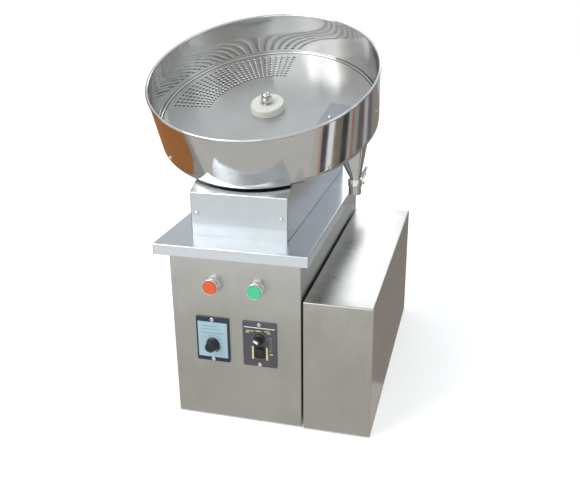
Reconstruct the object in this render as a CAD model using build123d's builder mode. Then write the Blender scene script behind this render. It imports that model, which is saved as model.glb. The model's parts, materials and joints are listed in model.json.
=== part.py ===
from build123d import *
from math import atan2, cos, degrees, radians, sin, tan
import os

# Disc-type tablet counter: a sheet-steel cabinet with a sloping riser on top, and a tilted
# bowl on the riser in which a drilled disc turns and drops tablets into a side funnel.
# Millimetres. +X to the operator's right, +Y to the back, +Z up. The origin is the middle
# of the whole machine's footprint box, on the surface that the machine stands on.

# Cabinet and the box beside it
sheet = 1.5
cabinet_width = 230.0
cabinet_depth = 520.0
foot_height = 3.0
edge_gap = 1.0              # lower edge of the sheet above the surface
foot_radius = 15.0
foot_inset = 32.0
base_flange = 14.0
back_return = 16.0
box_gap = 3.5
box_width = 118.0
box_height = 247.0
box_forward = 2.5
box_depth = 520.0
tie_inset = 90.0            # from the cabinet's front and back
tie_low = 50.0
tie_drop = 45.0             # below the box's top
tie_spacer_radius = 7.0
tie_hex_radius = 5.5
tie_head = 4.0
tie_nut = 5.0
bolt_overhang = 1.0         # thread showing past a nut

# Top plate, a tray turned over
plate_top = 336.0
plate_flange = 19.0
plate_side = 18.0
plate_front = 24.0
plate_back = 28.0
motor_opening_width = 90.0
motor_opening_length = 150.0
motor_opening_y = 300.0     # middle of the opening behind the cabinet's front
motor_opening_corner = 10.0

# Riser cover, with its top sloping like the bowl
tilt = 23.5
riser_width = 170.0
riser_front = 33.0          # behind the cabinet's front
riser_front_height = 75.0
riser_back = 5.0            # in front of the cabinet's back
riser_flat = 75.0           # level part behind the slope
riser_screw_inset = 11.0
riser_screw_height = 38.0
riser_hole_radius = 34.0
bracket_width = 16.0
bracket_rise = 8.0          # above its screw
bracket_foot = 20.0
bracket_inset = 1.0

# Bowl; heights along its axis are counted from the wall's lower edge
bowl_y = 227.0              # centre of the lower edge behind the cabinet's front
bowl_gap = 4.0
wall_height = 102.0
rim_radius = 207.0
rim_bead = 2.5
wall_foot_radius = 201.0
wall_sheet = 1.2
floor_top = 18.0
floor_sheet = 3.0
floor_flange = 14.0
floor_hole_radius = 33.0
floor_play = 0.15
wall_screw_height = 10.0
wall_screw_count = 4
wall_screw_length = 8.0
wall_screw_play = 0.2       # between a flat head and the round wall
countersink = 2.0
ring_width = 4.0
ring_play = 0.4
ring_rise = 0.5             # of the ring's round top above the disc

# Counting disc and what holds it
disc_lift = 1.0             # disc above the floor
disc_sheet = 3.0
disc_play = 0.7
hole_radius = 2.7
hole_rows = 9
hole_columns = 26
first_row_radius = 114.0
row_pitch = 8.5
hole_start_angle = 88.0
hole_span = 92.0
stud_radius = 6.0
stud_play = 0.1
hub_radius = 31.5
hub_height = 14.0
hub_round = 2.5
washer_radius = 13.0
washer_height = 2.0
nut_flats = 19.0
nut_hex_height = 10.0
nut_height = 19.0
nut_wall = 3.0
nut_dome_radius = 8.5

# Discharge
window_x = 147.0            # from the bowl's axis
window_y = -17.0
window_length = 88.0
window_width = 58.0
funnel_sheet = 1.2
funnel_rim = 2.0
funnel_x = 165.0            # from the bowl's axis
funnel_y = 206.0            # behind the cabinet's front
nozzle_radius = 11.5
nozzle_wall = 1.1
nozzle_bottom = 374.0
nozzle_top = 403.0
nozzle_play = 0.1
collar_rise = 1.2           # of the collar from the nozzle's tube
collar_bottom = 389.0
lug_length = 30.0           # of the lug that the nozzle is pulled off by
lug_width = 16.0
lug_lean = 24.0
lug_drop = 2.0              # of its foot below the collar's top
spout_bottom = 388.0
funnel_neck = 405.0
nozzle_screw_height = 395.0
nozzle_knob_radius = 2.8
nozzle_knob_length = 2.9
nozzle_knob_gap = 1.6
shield_start = 110.0
shield_width = 52.0
shield_sheet = 1.2
shield_lift = 4.0           # above the disc
shield_tab_width = 28.0
shield_tab_height = 22.0
shield_wall_gap = 3.0
shield_screw_height = 14.0  # above the shield
shield_screw_inset = 12.0
shield_spacer_radius = 4.0
brush_width = 8.0
brush_play = 0.4
brush_y = -10.0
brush_inset = 5.0
brush_shortfall = 14.0

# Drive, along the bowl's axis
shaft_radius = 10.0
flange_radius = 30.0
flange_thick = 5.0
bearing_radius = 21.0
bearing_width = 12.0
bearing_spacing = 46.0
bearing_fit = 0.02
bearing_shoulder = 4.0
flange_play = 1.5
flange_drop = 2.0           # below the shaft's flange
running_play = 0.04
housing_radius = 28.0
housing_flange_radius = 48.0
housing_flange = 6.0
housing_bottom = -60.0
housing_screw_circle = 40.0
housing_nut_radius = 3.5
housing_nut = 3.2
housing_screw_end = 5.0
tilt_plate_thick = 6.0
tilt_plate_play = 11.0      # beside the tilted plate, to the riser's outside
tilt_plate_length = 210.0
leg_sheet = 3.0
leg_front = 150.0           # behind the cabinet's front
leg_length = 205.0
leg_foot_width = 24.0
mount_inset = 22.0          # from the ends of a leg
rubber_height = 12.0
rubber_radius = 10.5
bolt_radius = 3.0
bolt_play = 0.2
frame_hex_radius = 5.0
frame_nut = 5.0
frame_bolt_end = 8.0
coupling_radius = 15.0
coupling_length = 34.0
coupling_drop = 3.0         # below the tilted plate
coupling_play = 8.0
coupling_chamfer = 1.0
shaft_gap = 1.0             # between the two shafts in the coupling
gearbox_size = 76.0
gearbox_height = 45.0
gearbox_corner = 6.0
output_depth = 8.0          # of the output shaft in the gearbox, from its far side
standoff_radius = 5.0
standoff_length = 40.0
standoff_inset = 7.0
output_radius = 6.0
motor_radius = 36.0
motor_length = 80.0
motor_round = 5.0

# Vibrator under the tilted plate, its axis along X
vibrator_y = 74.0
vibrator_radius = 23.0
vibrator_wall = 3.0
vibrator_length = 70.0
vibrator_gap = 3.0
vibrator_cap = 3.0
saddle_width = 30.0
saddle_depth = 14.0
saddle_inset = 5.0
vibrator_shaft_radius = 4.0
weight_radius = 17.0
weight_length = 12.0
weight_inset = 4.0

# Controls on the cabinet's front, counted from its middle and from the ground
button_x = 39.0
button_height = 261.0
bezel_wall = 2.0            # round the cap's recess
bezel_depth = 15.0
barrel_radius = 11.0
barrel_length = 30.0
barrel_bore = 9.0
cap_radius = 12.2
cap_play = 0.3
cap_depth = 8.0
cap_proud = 1.0
cap_travel = 4.0
barrel_play = 0.2
barrel_floor = 1.5
lip = 1.2
cap_edge = 0.8
cap_stop = 3.0
button_nut = 5.0
button_nut_rim = 1.0
block_width = 30.0
block_height = 40.0
block_depth = 32.0
panel_x = 42.5
panel_height = 157.5
panel_width = 60.0
panel_length = 84.5
panel_thick = 3.0
panel_corner = 1.5
panel_screw_inset = 4.25
unit_width = 48.0
unit_length = 66.0
unit_depth = 70.0
unit_play = 0.5
knob_radius = 12.0
knob_depth = 17.0
knob_gap = 0.4
knob_shortfall = 2.0        # of the right knob's depth
skirt_height = 3.0
skirt_edge = 1.0
skirt_step = 2.0
nose_angle = -40.0
nose_width = 5.0
nose_reach = 3.0            # past the knob's skirt
spindle_length = 10.0
spindle_play = 0.5
spindle_radius = 3.0
left_knob_height = 149.0
right_knob_height = 168.5
right_knob_radius = 9.5
rocker_height = 143.5
rocker_frame_width = 18.0
rocker_frame_length = 21.5
rocker_frame_proud = 2.0
rocker_frame_lip = 1.0
rocker_frame_play = 0.2
rocker_frame_depth = 16.0
rocker_cavity = 10.0
rocker_width = 13.0
rocker_length = 16.4
rocker_play = 0.3
rocker_end_play = 0.5
rocker_pivot_depth = 1.0
rocker_rise = 2.4
rocker_dip = 1.0
rocker_rest_angle = 10.0

# Back
gland_radius = 4.5
gland_height = 60.0
gland_x = 60.0
gland_thread = 3.4
gland_play = 0.2
gland_hex_radius = 12.0
gland_hex = 6.0
gland_nut_radius = 11.0
gland_thread_end = 8.0
gland_cap_radius = 9.5
gland_cap = 12.0
gland_tip_radius = 7.0
gland_tip = 18.0
cover_play = 1.0            # round the back panel
cover_drop = 3.0            # below the top plate's flange
louvre_count = 5
louvre_height = 208.0
louvre_pitch = 14.0
louvre_length = 110.0
louvre_width = 5.0

screw_radius = 2.0
screw_head_radius = 3.8
screw_head_height = 2.4
screw_play = 0.1
screw_bite = 0.05
hole_reach = 8.0            # of a drilled hole past the face it is drilled from
back_screw_low = 30.0
back_screw_drop = 28.0      # below the top plate's flange

# Contactor
contactor_width = 46.0
contactor_length = 78.0
contactor_height = 70.0
contactor_corner = 3.0
contactor_inset = 140.0     # in front of the cabinet's back

# Sizes and places that follow from the sizes above
riser_depth = cabinet_depth - riser_front - riser_back
riser_slope_depth = riser_depth - riser_flat
riser_screw_x = riser_width / 2 - riser_screw_inset
tilt_plate_width = riser_width - 2 * tilt_plate_play
collar_radius = nozzle_radius + collar_rise
bezel_radius = cap_radius + cap_play + bezel_wall
panel_screw_spacing = panel_length - 2 * panel_screw_inset
box_right = cabinet_width / 2 + box_gap + box_width
cabinet_x = (rim_radius - box_right) / 2
front = plate_front - (plate_front + cabinet_depth + plate_back) / 2
back = front + cabinet_depth
box_x = cabinet_x + cabinet_width / 2 + box_gap + box_width / 2
box_y = front - box_forward + box_depth / 2
shell_top = plate_top - sheet
slope = tan(radians(tilt))
bowl_z = (plate_top + riser_front_height + (bowl_y - riser_front) * slope
          + bowl_gap / cos(radians(tilt)))

# The bowl's own plane: its z axis is the disc's axis, x is to the right, y is uphill
bowl = Plane(origin=(cabinet_x, front + bowl_y, bowl_z), x_dir=(1, 0, 0),
             z_dir=(0, -sin(radians(tilt)), cos(radians(tilt))))
panel = Plane(origin=(cabinet_x, front, 0), x_dir=(1, 0, 0), z_dir=(0, -1, 0))

bead_centre = rim_radius - rim_bead
wall_lean = (bead_centre + wall_sheet / 2 - wall_foot_radius) / (wall_height - rim_bead)
disc_top = floor_top + disc_lift + disc_sheet
ring_outer = wall_foot_radius - wall_sheet + wall_lean * floor_top - ring_play
disc_radius = ring_outer - ring_width - disc_play
hub_top = disc_top + hub_height
flange_bottom = disc_top - disc_sheet - flange_thick
floor_bottom = floor_top - floor_sheet
tilt_plate_top = housing_bottom - housing_flange
tilt_plate_bottom = tilt_plate_top - tilt_plate_thick
gearbox_top = tilt_plate_bottom - standoff_length
coupling_top = tilt_plate_bottom - coupling_drop
shield_angle = degrees(atan2(window_y, window_x))
shield_bottom = disc_top + shield_lift


def spun(plane, angle):
    # the plane turned about its own z axis
    return Plane(plane.location * Rot(0, 0, angle))


shield_plane = spun(bowl, shield_angle)


def inner_wall(height):
    # inner radius of the bowl's wall at a height along its axis
    return wall_foot_radius - wall_sheet + wall_lean * height


def section(plane):
    # the plane through an axis plane's z axis, in which a turned profile is drawn
    return Plane(origin=plane.origin, x_dir=plane.x_dir, z_dir=-plane.y_dir)


def turn(plane, *points, mode=Mode.ADD):
    # a (radius, height) outline turned about the plane's z axis
    with BuildSketch(section(plane)) as outline:
        with BuildLine():
            Polyline(*points, close=True)
        make_face()
    revolve(outline.sketch, axis=Axis(plane.origin, plane.z_dir), mode=mode)


def rod(plane, radius, low, high, places=((0, 0),), mode=Mode.ADD):
    # round bars, or round holes, between two heights above the plane
    with BuildSketch(plane.offset(low)) as outline:
        with Locations(*places):
            Circle(radius)
    extrude(outline.sketch, amount=high - low, mode=mode)


def bar(plane, width, length, low, high, places=((0, 0),), mode=Mode.ADD, corner=0):
    # rectangular bars, or rectangular holes, between two heights above the plane
    with BuildSketch(plane.offset(low)) as outline:
        with Locations(*places):
            if corner:
                RectangleRounded(width, length, corner)
            else:
                Rectangle(width, length)
    extrude(outline.sketch, amount=high - low, mode=mode)


def dome_screw(plane, shank_length):
    # a screw with a domed head on the plane and its shank below
    edge = 0.4 * screw_head_height
    shoulder = (0.72 * screw_head_radius, 0.85 * screw_head_height)
    turn(plane, (0, -shank_length), (screw_radius, -shank_length), (screw_radius, 0),
         (screw_head_radius, 0), (screw_head_radius, edge), shoulder, (0, screw_head_height))


def radial(plane, angle, radius, height):
    # a plane on a cylinder about the plane's z axis, facing outwards
    turned = spun(plane, angle)
    origin = turned.origin + turned.x_dir * radius + turned.z_dir * height
    return Plane(origin=origin, x_dir=turned.z_dir, z_dir=turned.x_dir)


def save(piece, name):
    piece.part.label = name
    export_step(piece.part, "parts/" + name + ".step")


wall_screw_angles = [45 + 360 / wall_screw_count * number for number in range(wall_screw_count)]
housing_screw_places = [(housing_screw_circle * cos(radians(a)), housing_screw_circle * sin(radians(a)))
                        for a in (45, 135, 225, 315)]
foot_x = cabinet_width / 2 - foot_inset
cabinet_foot_places = [(cabinet_x + side * foot_x, y) for side in (-1, 1)
                       for y in (front + foot_inset, back - foot_inset)]
box_foot_places = [(box_x + side * (box_width / 2 - foot_inset), box_y + end * (box_depth / 2 - foot_inset))
                   for side in (-1, 1) for end in (-1, 1)]
tie_places = [(y, z) for y in (front + tie_inset, back - tie_inset) for z in (tie_low, box_height - tie_drop)]
panel_centres = {"left": (-panel_x, panel_height), "right": (panel_x, panel_height)}
panel_screw_places = [(x, z + end * panel_screw_spacing / 2)
                      for x, z in panel_centres.values() for end in (-1, 1)]
knob_places = {"left": (-panel_x, left_knob_height), "right": (panel_x, right_knob_height)}
button_places = {"stop": (-button_x, button_height), "start": (button_x, button_height)}
back_screw_places = [(side * (cabinet_width / 2 - back_return / 2), z) for side in (-1, 1)
                     for z in (back_screw_low, plate_top / 2,
                               plate_top - plate_flange - back_screw_drop)]

# Cabinet: one wrapped sheet with returns at the back
with BuildPart() as cabinet_shell:
    with BuildSketch(Plane.XY.offset(edge_gap)):
        with Locations((cabinet_x, front + cabinet_depth / 2)):
            Rectangle(cabinet_width, cabinet_depth)
            Rectangle(cabinet_width - 2 * sheet, cabinet_depth - 2 * sheet, mode=Mode.SUBTRACT)
        with Locations((cabinet_x, back)):
            Rectangle(cabinet_width - 2 * back_return, 4 * sheet, mode=Mode.SUBTRACT)
    extrude(amount=shell_top - edge_gap)
    rod(panel, barrel_radius + barrel_play, -2 * sheet, sheet, button_places.values(), Mode.SUBTRACT)
    bar(panel, unit_width + 2 * unit_play, unit_length + 2 * unit_play, -2 * sheet, sheet,
        panel_centres.values(), Mode.SUBTRACT)
    rod(panel, screw_radius + screw_play, -2 * sheet, sheet, panel_screw_places, Mode.SUBTRACT)
    rod(Plane.YZ.offset(cabinet_x + cabinet_width / 2), bolt_radius + bolt_play, -2 * sheet, sheet,
        tie_places, Mode.SUBTRACT)
    rod(Plane(origin=(cabinet_x, back, 0), x_dir=(1, 0, 0), z_dir=(0, -1, 0)), screw_radius + screw_play,
        -sheet, 2 * sheet, back_screw_places, Mode.SUBTRACT)
save(cabinet_shell, "cabinet_shell")


def tray(plane_height, x, y, width, depth):
    # a shallow tray with its flanges turned up, welded inside a shell
    bar(Plane.XY, width, depth, plane_height, plane_height + base_flange, [(x, y)])
    bar(Plane.XY, width - 2 * sheet, depth - 2 * sheet, plane_height + sheet,
        plane_height + base_flange + sheet, [(x, y)], Mode.SUBTRACT)


with BuildPart() as base_plate:
    tray(foot_height, cabinet_x, front + cabinet_depth / 2, cabinet_width - 2 * sheet,
         cabinet_depth - 2 * sheet)
save(base_plate, "base_plate")

with BuildPart() as cabinet_feet:
    rod(Plane.XY, foot_radius, 0, foot_height, cabinet_foot_places)
save(cabinet_feet, "cabinet_feet")

with BuildPart() as side_box_base:
    tray(foot_height, box_x, box_y, box_width - 2 * sheet, box_depth - 2 * sheet)
save(side_box_base, "side_box_base")

with BuildPart() as side_box_feet:
    rod(Plane.XY, foot_radius, 0, foot_height, box_foot_places)
save(side_box_feet, "side_box_feet")

# Side box: a lidless box turned over, bolted to the cabinet's right wall
with BuildPart() as side_box:
    bar(Plane.XY, box_width, box_depth, edge_gap, box_height, [(box_x, box_y)])
    bar(Plane.XY, box_width - 2 * sheet, box_depth - 2 * sheet, 0, box_height - sheet,
        [(box_x, box_y)], Mode.SUBTRACT)
    rod(Plane.YZ.offset(box_x - box_width / 2), bolt_radius + bolt_play, -sheet, 2 * sheet,
        tie_places, Mode.SUBTRACT)
save(side_box, "side_box")

tie_plane = Plane.YZ.offset(cabinet_x + cabinet_width / 2)
with BuildPart() as tie_spacers:
    rod(tie_plane, tie_spacer_radius, 0, box_gap, tie_places)
    rod(tie_plane, bolt_radius + bolt_play, 0, box_gap, tie_places, Mode.SUBTRACT)
save(tie_spacers, "tie_spacers")

with BuildPart() as tie_bolts:
    rod(tie_plane, bolt_radius, -sheet - tie_nut - bolt_overhang, box_gap + sheet, tie_places)
    for low, thick in ((box_gap + sheet, tie_head), (-sheet - tie_nut, tie_nut)):
        with BuildSketch(tie_plane.offset(low)):
            with Locations(*tie_places):
                RegularPolygon(tie_hex_radius, 6)
        extrude(amount=thick)
save(tie_bolts, "tie_bolts")

# Back panel with its louvres, screws and cable gland
back_plane = Plane(origin=(cabinet_x, back, 0), x_dir=(-1, 0, 0), z_dir=(0, 1, 0))
louvre_places = [(0, louvre_height + louvre_pitch * number) for number in range(louvre_count)]
with BuildPart() as back_panel:
    panel_low = edge_gap + cover_play
    panel_high = plate_top - plate_flange - cover_drop
    bar(back_plane, cabinet_width - 2 * cover_play, panel_high - panel_low, 0, sheet,
        [(0, (panel_low + panel_high) / 2)])
    with BuildSketch(back_plane):
        with Locations(*louvre_places):
            SlotOverall(louvre_length, louvre_width)
    extrude(amount=sheet, mode=Mode.SUBTRACT)
    rod(back_plane, screw_radius + screw_play, 0, sheet, back_screw_places, Mode.SUBTRACT)
    rod(back_plane, gland_radius + gland_thread + gland_play, 0, sheet, [(-gland_x, gland_height)],
        Mode.SUBTRACT)
save(back_panel, "back_panel")

with BuildPart() as back_screws:
    for x, z in back_screw_places:
        dome_screw(Plane(origin=back_plane.from_local_coords((x, z, sheet)), x_dir=(1, 0, 0),
                         z_dir=(0, 1, 0)), 3 * sheet)
save(back_screws, "back_screws")

gland_plane = Plane(origin=back_plane.from_local_coords((-gland_x, gland_height, sheet)),
                    x_dir=(1, 0, 0), z_dir=(0, 1, 0))
with BuildPart() as cable_gland:
    for radius, low in ((gland_hex_radius, 0), (gland_nut_radius, -sheet - gland_hex)):
        with BuildSketch(gland_plane.offset(low)):
            RegularPolygon(radius, 6)
        extrude(amount=gland_hex)
    turn(gland_plane, (0, gland_hex), (gland_cap_radius, gland_hex), (gland_cap_radius, gland_cap),
         (gland_tip_radius, gland_tip), (0, gland_tip))
    rod(gland_plane, gland_radius + gland_thread, -sheet - gland_thread_end, 0)
    rod(gland_plane, gland_radius, -2 * gland_tip, 2 * gland_tip, mode=Mode.SUBTRACT)
save(cable_gland, "cable_gland")

# Top plate and the riser on it
plate_y = front + (cabinet_depth + plate_back - plate_front) / 2
leg_x = tilt_plate_width / 2
rubber_places = [(cabinet_x + side * (leg_x - leg_sheet - leg_foot_width / 2), y) for side in (-1, 1)
                 for y in (front + leg_front + mount_inset,
                           front + leg_front + leg_length - mount_inset)]
plate_width = cabinet_width + 2 * plate_side
plate_depth = cabinet_depth + plate_front + plate_back
with BuildPart() as top_plate:
    bar(Plane.XY, plate_width, plate_depth, plate_top - plate_flange, plate_top, [(cabinet_x, plate_y)])
    bar(Plane.XY, plate_width - 2 * sheet, plate_depth - 2 * sheet, plate_top - plate_flange,
        plate_top - sheet, [(cabinet_x, plate_y)], Mode.SUBTRACT)
    bar(Plane.XY, motor_opening_width, motor_opening_length, plate_top - 2 * sheet, plate_top + sheet,
        [(cabinet_x, front + motor_opening_y)], Mode.SUBTRACT, corner=motor_opening_corner)
    rod(Plane.XY, bolt_radius + bolt_play, plate_top - 2 * sheet, plate_top + sheet, rubber_places,
        Mode.SUBTRACT)
save(top_plate, "top_plate")

riser_y = front + riser_front
riser_low = plate_top
riser_high = plate_top + riser_front_height + riser_slope_depth * slope


def riser_outline(wall, x, amount, mode):
    # the riser's side outline, drawn in by one wall thickness, and carried along X
    low = riser_low - (wall > 0)
    corner_z = riser_low + riser_front_height - wall / cos(radians(tilt)) + wall * slope
    with BuildSketch(Plane.YZ.offset(x)) as outline:
        with BuildLine():
            Polyline((riser_y + wall, low), (riser_y + riser_depth - wall, low),
                     (riser_y + riser_depth - wall, riser_high - wall),
                     (riser_y + riser_slope_depth + wall * tan(radians(tilt / 2)), riser_high - wall),
                     (riser_y + wall, corner_z), close=True)
        make_face()
    extrude(outline.sketch, amount=amount, mode=mode)


riser_screw_plane = Plane(origin=(cabinet_x, riser_y, 0), x_dir=(1, 0, 0), z_dir=(0, -1, 0))
riser_back_plane = Plane(origin=(cabinet_x, riser_y + riser_depth, 0), x_dir=(-1, 0, 0), z_dir=(0, 1, 0))
riser_screw_places = [(side * riser_screw_x, plate_top + riser_screw_height) for side in (-1, 1)]
with BuildPart() as riser_cover:
    riser_outline(0, cabinet_x - riser_width / 2, riser_width, Mode.ADD)
    riser_outline(sheet, cabinet_x - riser_width / 2 + sheet, riser_width - 2 * sheet, Mode.SUBTRACT)
    rod(bowl, riser_hole_radius, -bowl_gap - 3 * sheet, -bowl_gap + sheet, mode=Mode.SUBTRACT)
    for face in (riser_screw_plane, riser_back_plane):
        rod(face, screw_radius + screw_play, -2 * sheet, sheet, riser_screw_places, Mode.SUBTRACT)
save(riser_cover, "riser_cover")

with BuildPart() as riser_screws:
    for face in (riser_screw_plane, riser_back_plane):
        for x, z in riser_screw_places:
            dome_screw(Plane(origin=face.from_local_coords((x, z, 0)), x_dir=face.x_dir,
                             z_dir=face.z_dir), 3 * sheet)
save(riser_screws, "riser_screws")

# Angle brackets inside the riser that its screws bite into
with BuildPart() as riser_brackets:
    for face in (riser_screw_plane, riser_back_plane):
        for side in (-1, 1):
            bracket_x = side * (riser_screw_x - bracket_inset)
            bracket_height = riser_screw_height + bracket_rise
            bar(face, bracket_width, bracket_height, -2 * sheet, -sheet,
                [(bracket_x, plate_top + bracket_height / 2)])
            bar(face, bracket_width, sheet, -bracket_foot, -2 * sheet, [(bracket_x, plate_top + sheet / 2)])
        rod(face, screw_radius + screw_bite, -2 * sheet, -sheet, riser_screw_places, Mode.SUBTRACT)
save(riser_brackets, "riser_brackets")

# Bowl: the hoop with its rolled rim, the floor pan and the guard ring
with BuildPart() as bowl_wall:
    turn(bowl, (wall_foot_radius - wall_sheet, 0), (wall_foot_radius, 0),
         (bead_centre + wall_sheet / 2, wall_height - rim_bead),
         (bead_centre - wall_sheet / 2, wall_height - rim_bead))
    with BuildSketch(section(bowl)):
        with Locations((bead_centre, wall_height - rim_bead)):
            Circle(rim_bead)
    revolve(axis=Axis(bowl.origin, bowl.z_dir))
    for angle in wall_screw_angles:
        rod(radial(bowl, angle, wall_foot_radius, wall_screw_height), screw_radius + screw_play,
            -hole_reach, hole_reach, mode=Mode.SUBTRACT)
    rod(radial(bowl, shield_angle, inner_wall(shield_bottom), shield_bottom + shield_screw_height),
        screw_radius + screw_play, -hole_reach, hole_reach, mode=Mode.SUBTRACT)
save(bowl_wall, "bowl_wall")

with BuildPart() as bowl_floor:
    flange_low = floor_top - floor_flange
    outer_high = inner_wall(floor_top) - floor_play
    outer_low = inner_wall(flange_low) - floor_play
    turn(bowl, (floor_hole_radius, floor_bottom), (outer_high - floor_sheet, floor_bottom),
         (outer_low - floor_sheet, flange_low), (outer_low, flange_low), (outer_high, floor_top),
         (floor_hole_radius, floor_top))
    with BuildSketch(bowl.offset(floor_bottom)):
        with Locations((window_x, window_y)):
            Ellipse(window_length / 2, window_width / 2)
    extrude(amount=floor_sheet, mode=Mode.SUBTRACT)
    for angle in wall_screw_angles:
        rod(radial(bowl, angle, wall_foot_radius, wall_screw_height), screw_radius + screw_bite,
            -hole_reach, hole_reach, mode=Mode.SUBTRACT)
    for x, y in housing_screw_places:
        turn(Plane(origin=bowl.from_local_coords((x, y, 0)), x_dir=bowl.x_dir, z_dir=bowl.z_dir),
             (0, floor_bottom), (screw_radius + screw_play, floor_bottom),
             (screw_radius + screw_play, floor_top - countersink),
             (screw_head_radius + screw_play, floor_top), (0, floor_top), mode=Mode.SUBTRACT)
save(bowl_floor, "bowl_floor")

with BuildPart() as wall_screws:
    for angle in wall_screw_angles:
        dome_screw(radial(bowl, angle, inner_wall(wall_screw_height) + wall_sheet + wall_screw_play,
                          wall_screw_height), wall_screw_length)
save(wall_screws, "wall_screws")

with BuildPart() as guard_ring:
    ring_middle = ring_outer - ring_width / 2
    ring_shoulder = disc_top + ring_rise
    turn(bowl, (ring_middle - ring_width / 2, floor_top), (ring_middle + ring_width / 2, floor_top),
         (ring_middle + ring_width / 2, ring_shoulder), (ring_middle - ring_width / 2, ring_shoulder))
    with BuildSketch(section(bowl)):
        with Locations((ring_middle, ring_shoulder)):
            Circle(ring_width / 2)
    revolve(axis=Axis(bowl.origin, bowl.z_dir))
save(guard_ring, "guard_ring")

# Disc with one group of pockets, its hub and its nut
with BuildPart() as counting_disc:
    with BuildSketch(bowl.offset(disc_top - disc_sheet)):
        Circle(disc_radius)
        Circle(stud_radius + stud_play, mode=Mode.SUBTRACT)
        for row in range(hole_rows):
            with PolarLocations(first_row_radius + row * row_pitch, hole_columns, hole_start_angle,
                                hole_span, endpoint=True):
                Circle(hole_radius, mode=Mode.SUBTRACT)
    extrude(amount=disc_sheet)
save(counting_disc, "counting_disc")

with BuildPart() as disc_hub:
    rod(bowl, hub_radius, disc_top, hub_top)
    fillet(disc_hub.edges().filter_by(GeomType.CIRCLE).group_by(SortBy.RADIUS)[-1], hub_round)
    rod(bowl, stud_radius + stud_play, disc_top, hub_top, mode=Mode.SUBTRACT)
save(disc_hub, "disc_hub")

with BuildPart() as hub_washer:
    rod(bowl, washer_radius, hub_top, hub_top + washer_height)
    rod(bowl, stud_radius + stud_play, hub_top, hub_top + washer_height, mode=Mode.SUBTRACT)
save(hub_washer, "hub_washer")

nut_bottom = hub_top + washer_height
with BuildPart() as hub_nut:
    with BuildSketch(bowl.offset(nut_bottom)):
        RegularPolygon(nut_flats / 2, 6, major_radius=False)
    extrude(amount=nut_hex_height)
    dome_base = nut_bottom + nut_height - nut_dome_radius
    turn(bowl, (0, nut_bottom), (nut_dome_radius, nut_bottom), (nut_dome_radius, dome_base), (0, dome_base))
    with BuildSketch(section(bowl)):
        with Locations((0, dome_base)):
            Circle(nut_dome_radius)
        with Locations((-nut_dome_radius, dome_base)):
            Rectangle(2 * nut_dome_radius, 2 * nut_dome_radius, mode=Mode.SUBTRACT)
    revolve(axis=Axis(bowl.origin, bowl.z_dir))
    rod(bowl, stud_radius, nut_bottom, nut_bottom + nut_height - nut_wall, mode=Mode.SUBTRACT)
save(hub_nut, "hub_nut")

# Drive shaft, its bearings and their housing
shaft_bottom = coupling_top - coupling_length / 2
stud_top = nut_bottom + nut_height - nut_wall - bolt_overhang
with BuildPart() as drive_shaft:
    turn(bowl, (0, shaft_bottom), (shaft_radius, shaft_bottom), (shaft_radius, flange_bottom),
         (flange_radius, flange_bottom), (flange_radius, flange_bottom + flange_thick),
         (stud_radius, flange_bottom + flange_thick), (stud_radius, stud_top), (0, stud_top))
save(drive_shaft, "drive_shaft")

seat_low = housing_bottom + bearing_width
seat_high = housing_bottom + bearing_spacing
bore = bearing_radius + bearing_fit
floor_spigot = flange_radius + flange_play
with BuildPart() as bearing_housing:
    turn(bowl, (floor_spigot, floor_bottom), (housing_flange_radius, floor_bottom),
         (housing_flange_radius, floor_bottom - housing_flange),
         (housing_radius, floor_bottom - housing_flange), (housing_radius, housing_bottom),
         (housing_flange_radius, housing_bottom), (housing_flange_radius, tilt_plate_top),
         (bore, tilt_plate_top), (bore, seat_low), (bore - bearing_shoulder, seat_low),
         (bore - bearing_shoulder, seat_high), (bore, seat_high), (bore, flange_bottom - flange_drop),
         (floor_spigot, flange_bottom - flange_drop))
    rod(bowl, screw_radius + screw_play, tilt_plate_top, floor_bottom, housing_screw_places, Mode.SUBTRACT)
save(bearing_housing, "bearing_housing")

for name, low in (("upper_bearing", seat_high), ("lower_bearing", housing_bottom)):
    with BuildPart() as bearing:
        turn(bowl, (shaft_radius + running_play, low), (bearing_radius, low),
             (bearing_radius, low + bearing_width), (shaft_radius + running_play, low + bearing_width))
    save(bearing, name)

# Countersunk screws that hold the housing to the floor, and nuts on them
with BuildPart() as housing_screws:
    for x, y in housing_screw_places:
        place = Plane(origin=bowl.from_local_coords((x, y, 0)), x_dir=bowl.x_dir, z_dir=bowl.z_dir)
        low = floor_bottom - housing_flange
        turn(place, (0, low - housing_screw_end), (screw_radius, low - housing_screw_end),
             (screw_radius, floor_top - countersink), (screw_head_radius, floor_top), (0, floor_top))
        with BuildSketch(place.offset(low - housing_nut)):
            RegularPolygon(housing_nut_radius, 6, major_radius=False)
        extrude(amount=housing_nut)
save(housing_screws, "housing_screws")

# Tilted plate on two legs, standing on rubber mounts
leg_low = plate_top + rubber_height
leg_back = leg_front + leg_length


def tilt_height(distance, height):
    # height above ground of a plane across the bowl's axis, at a distance behind the front
    return bowl_z + height / cos(radians(tilt)) + (distance - bowl_y) * slope


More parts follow.
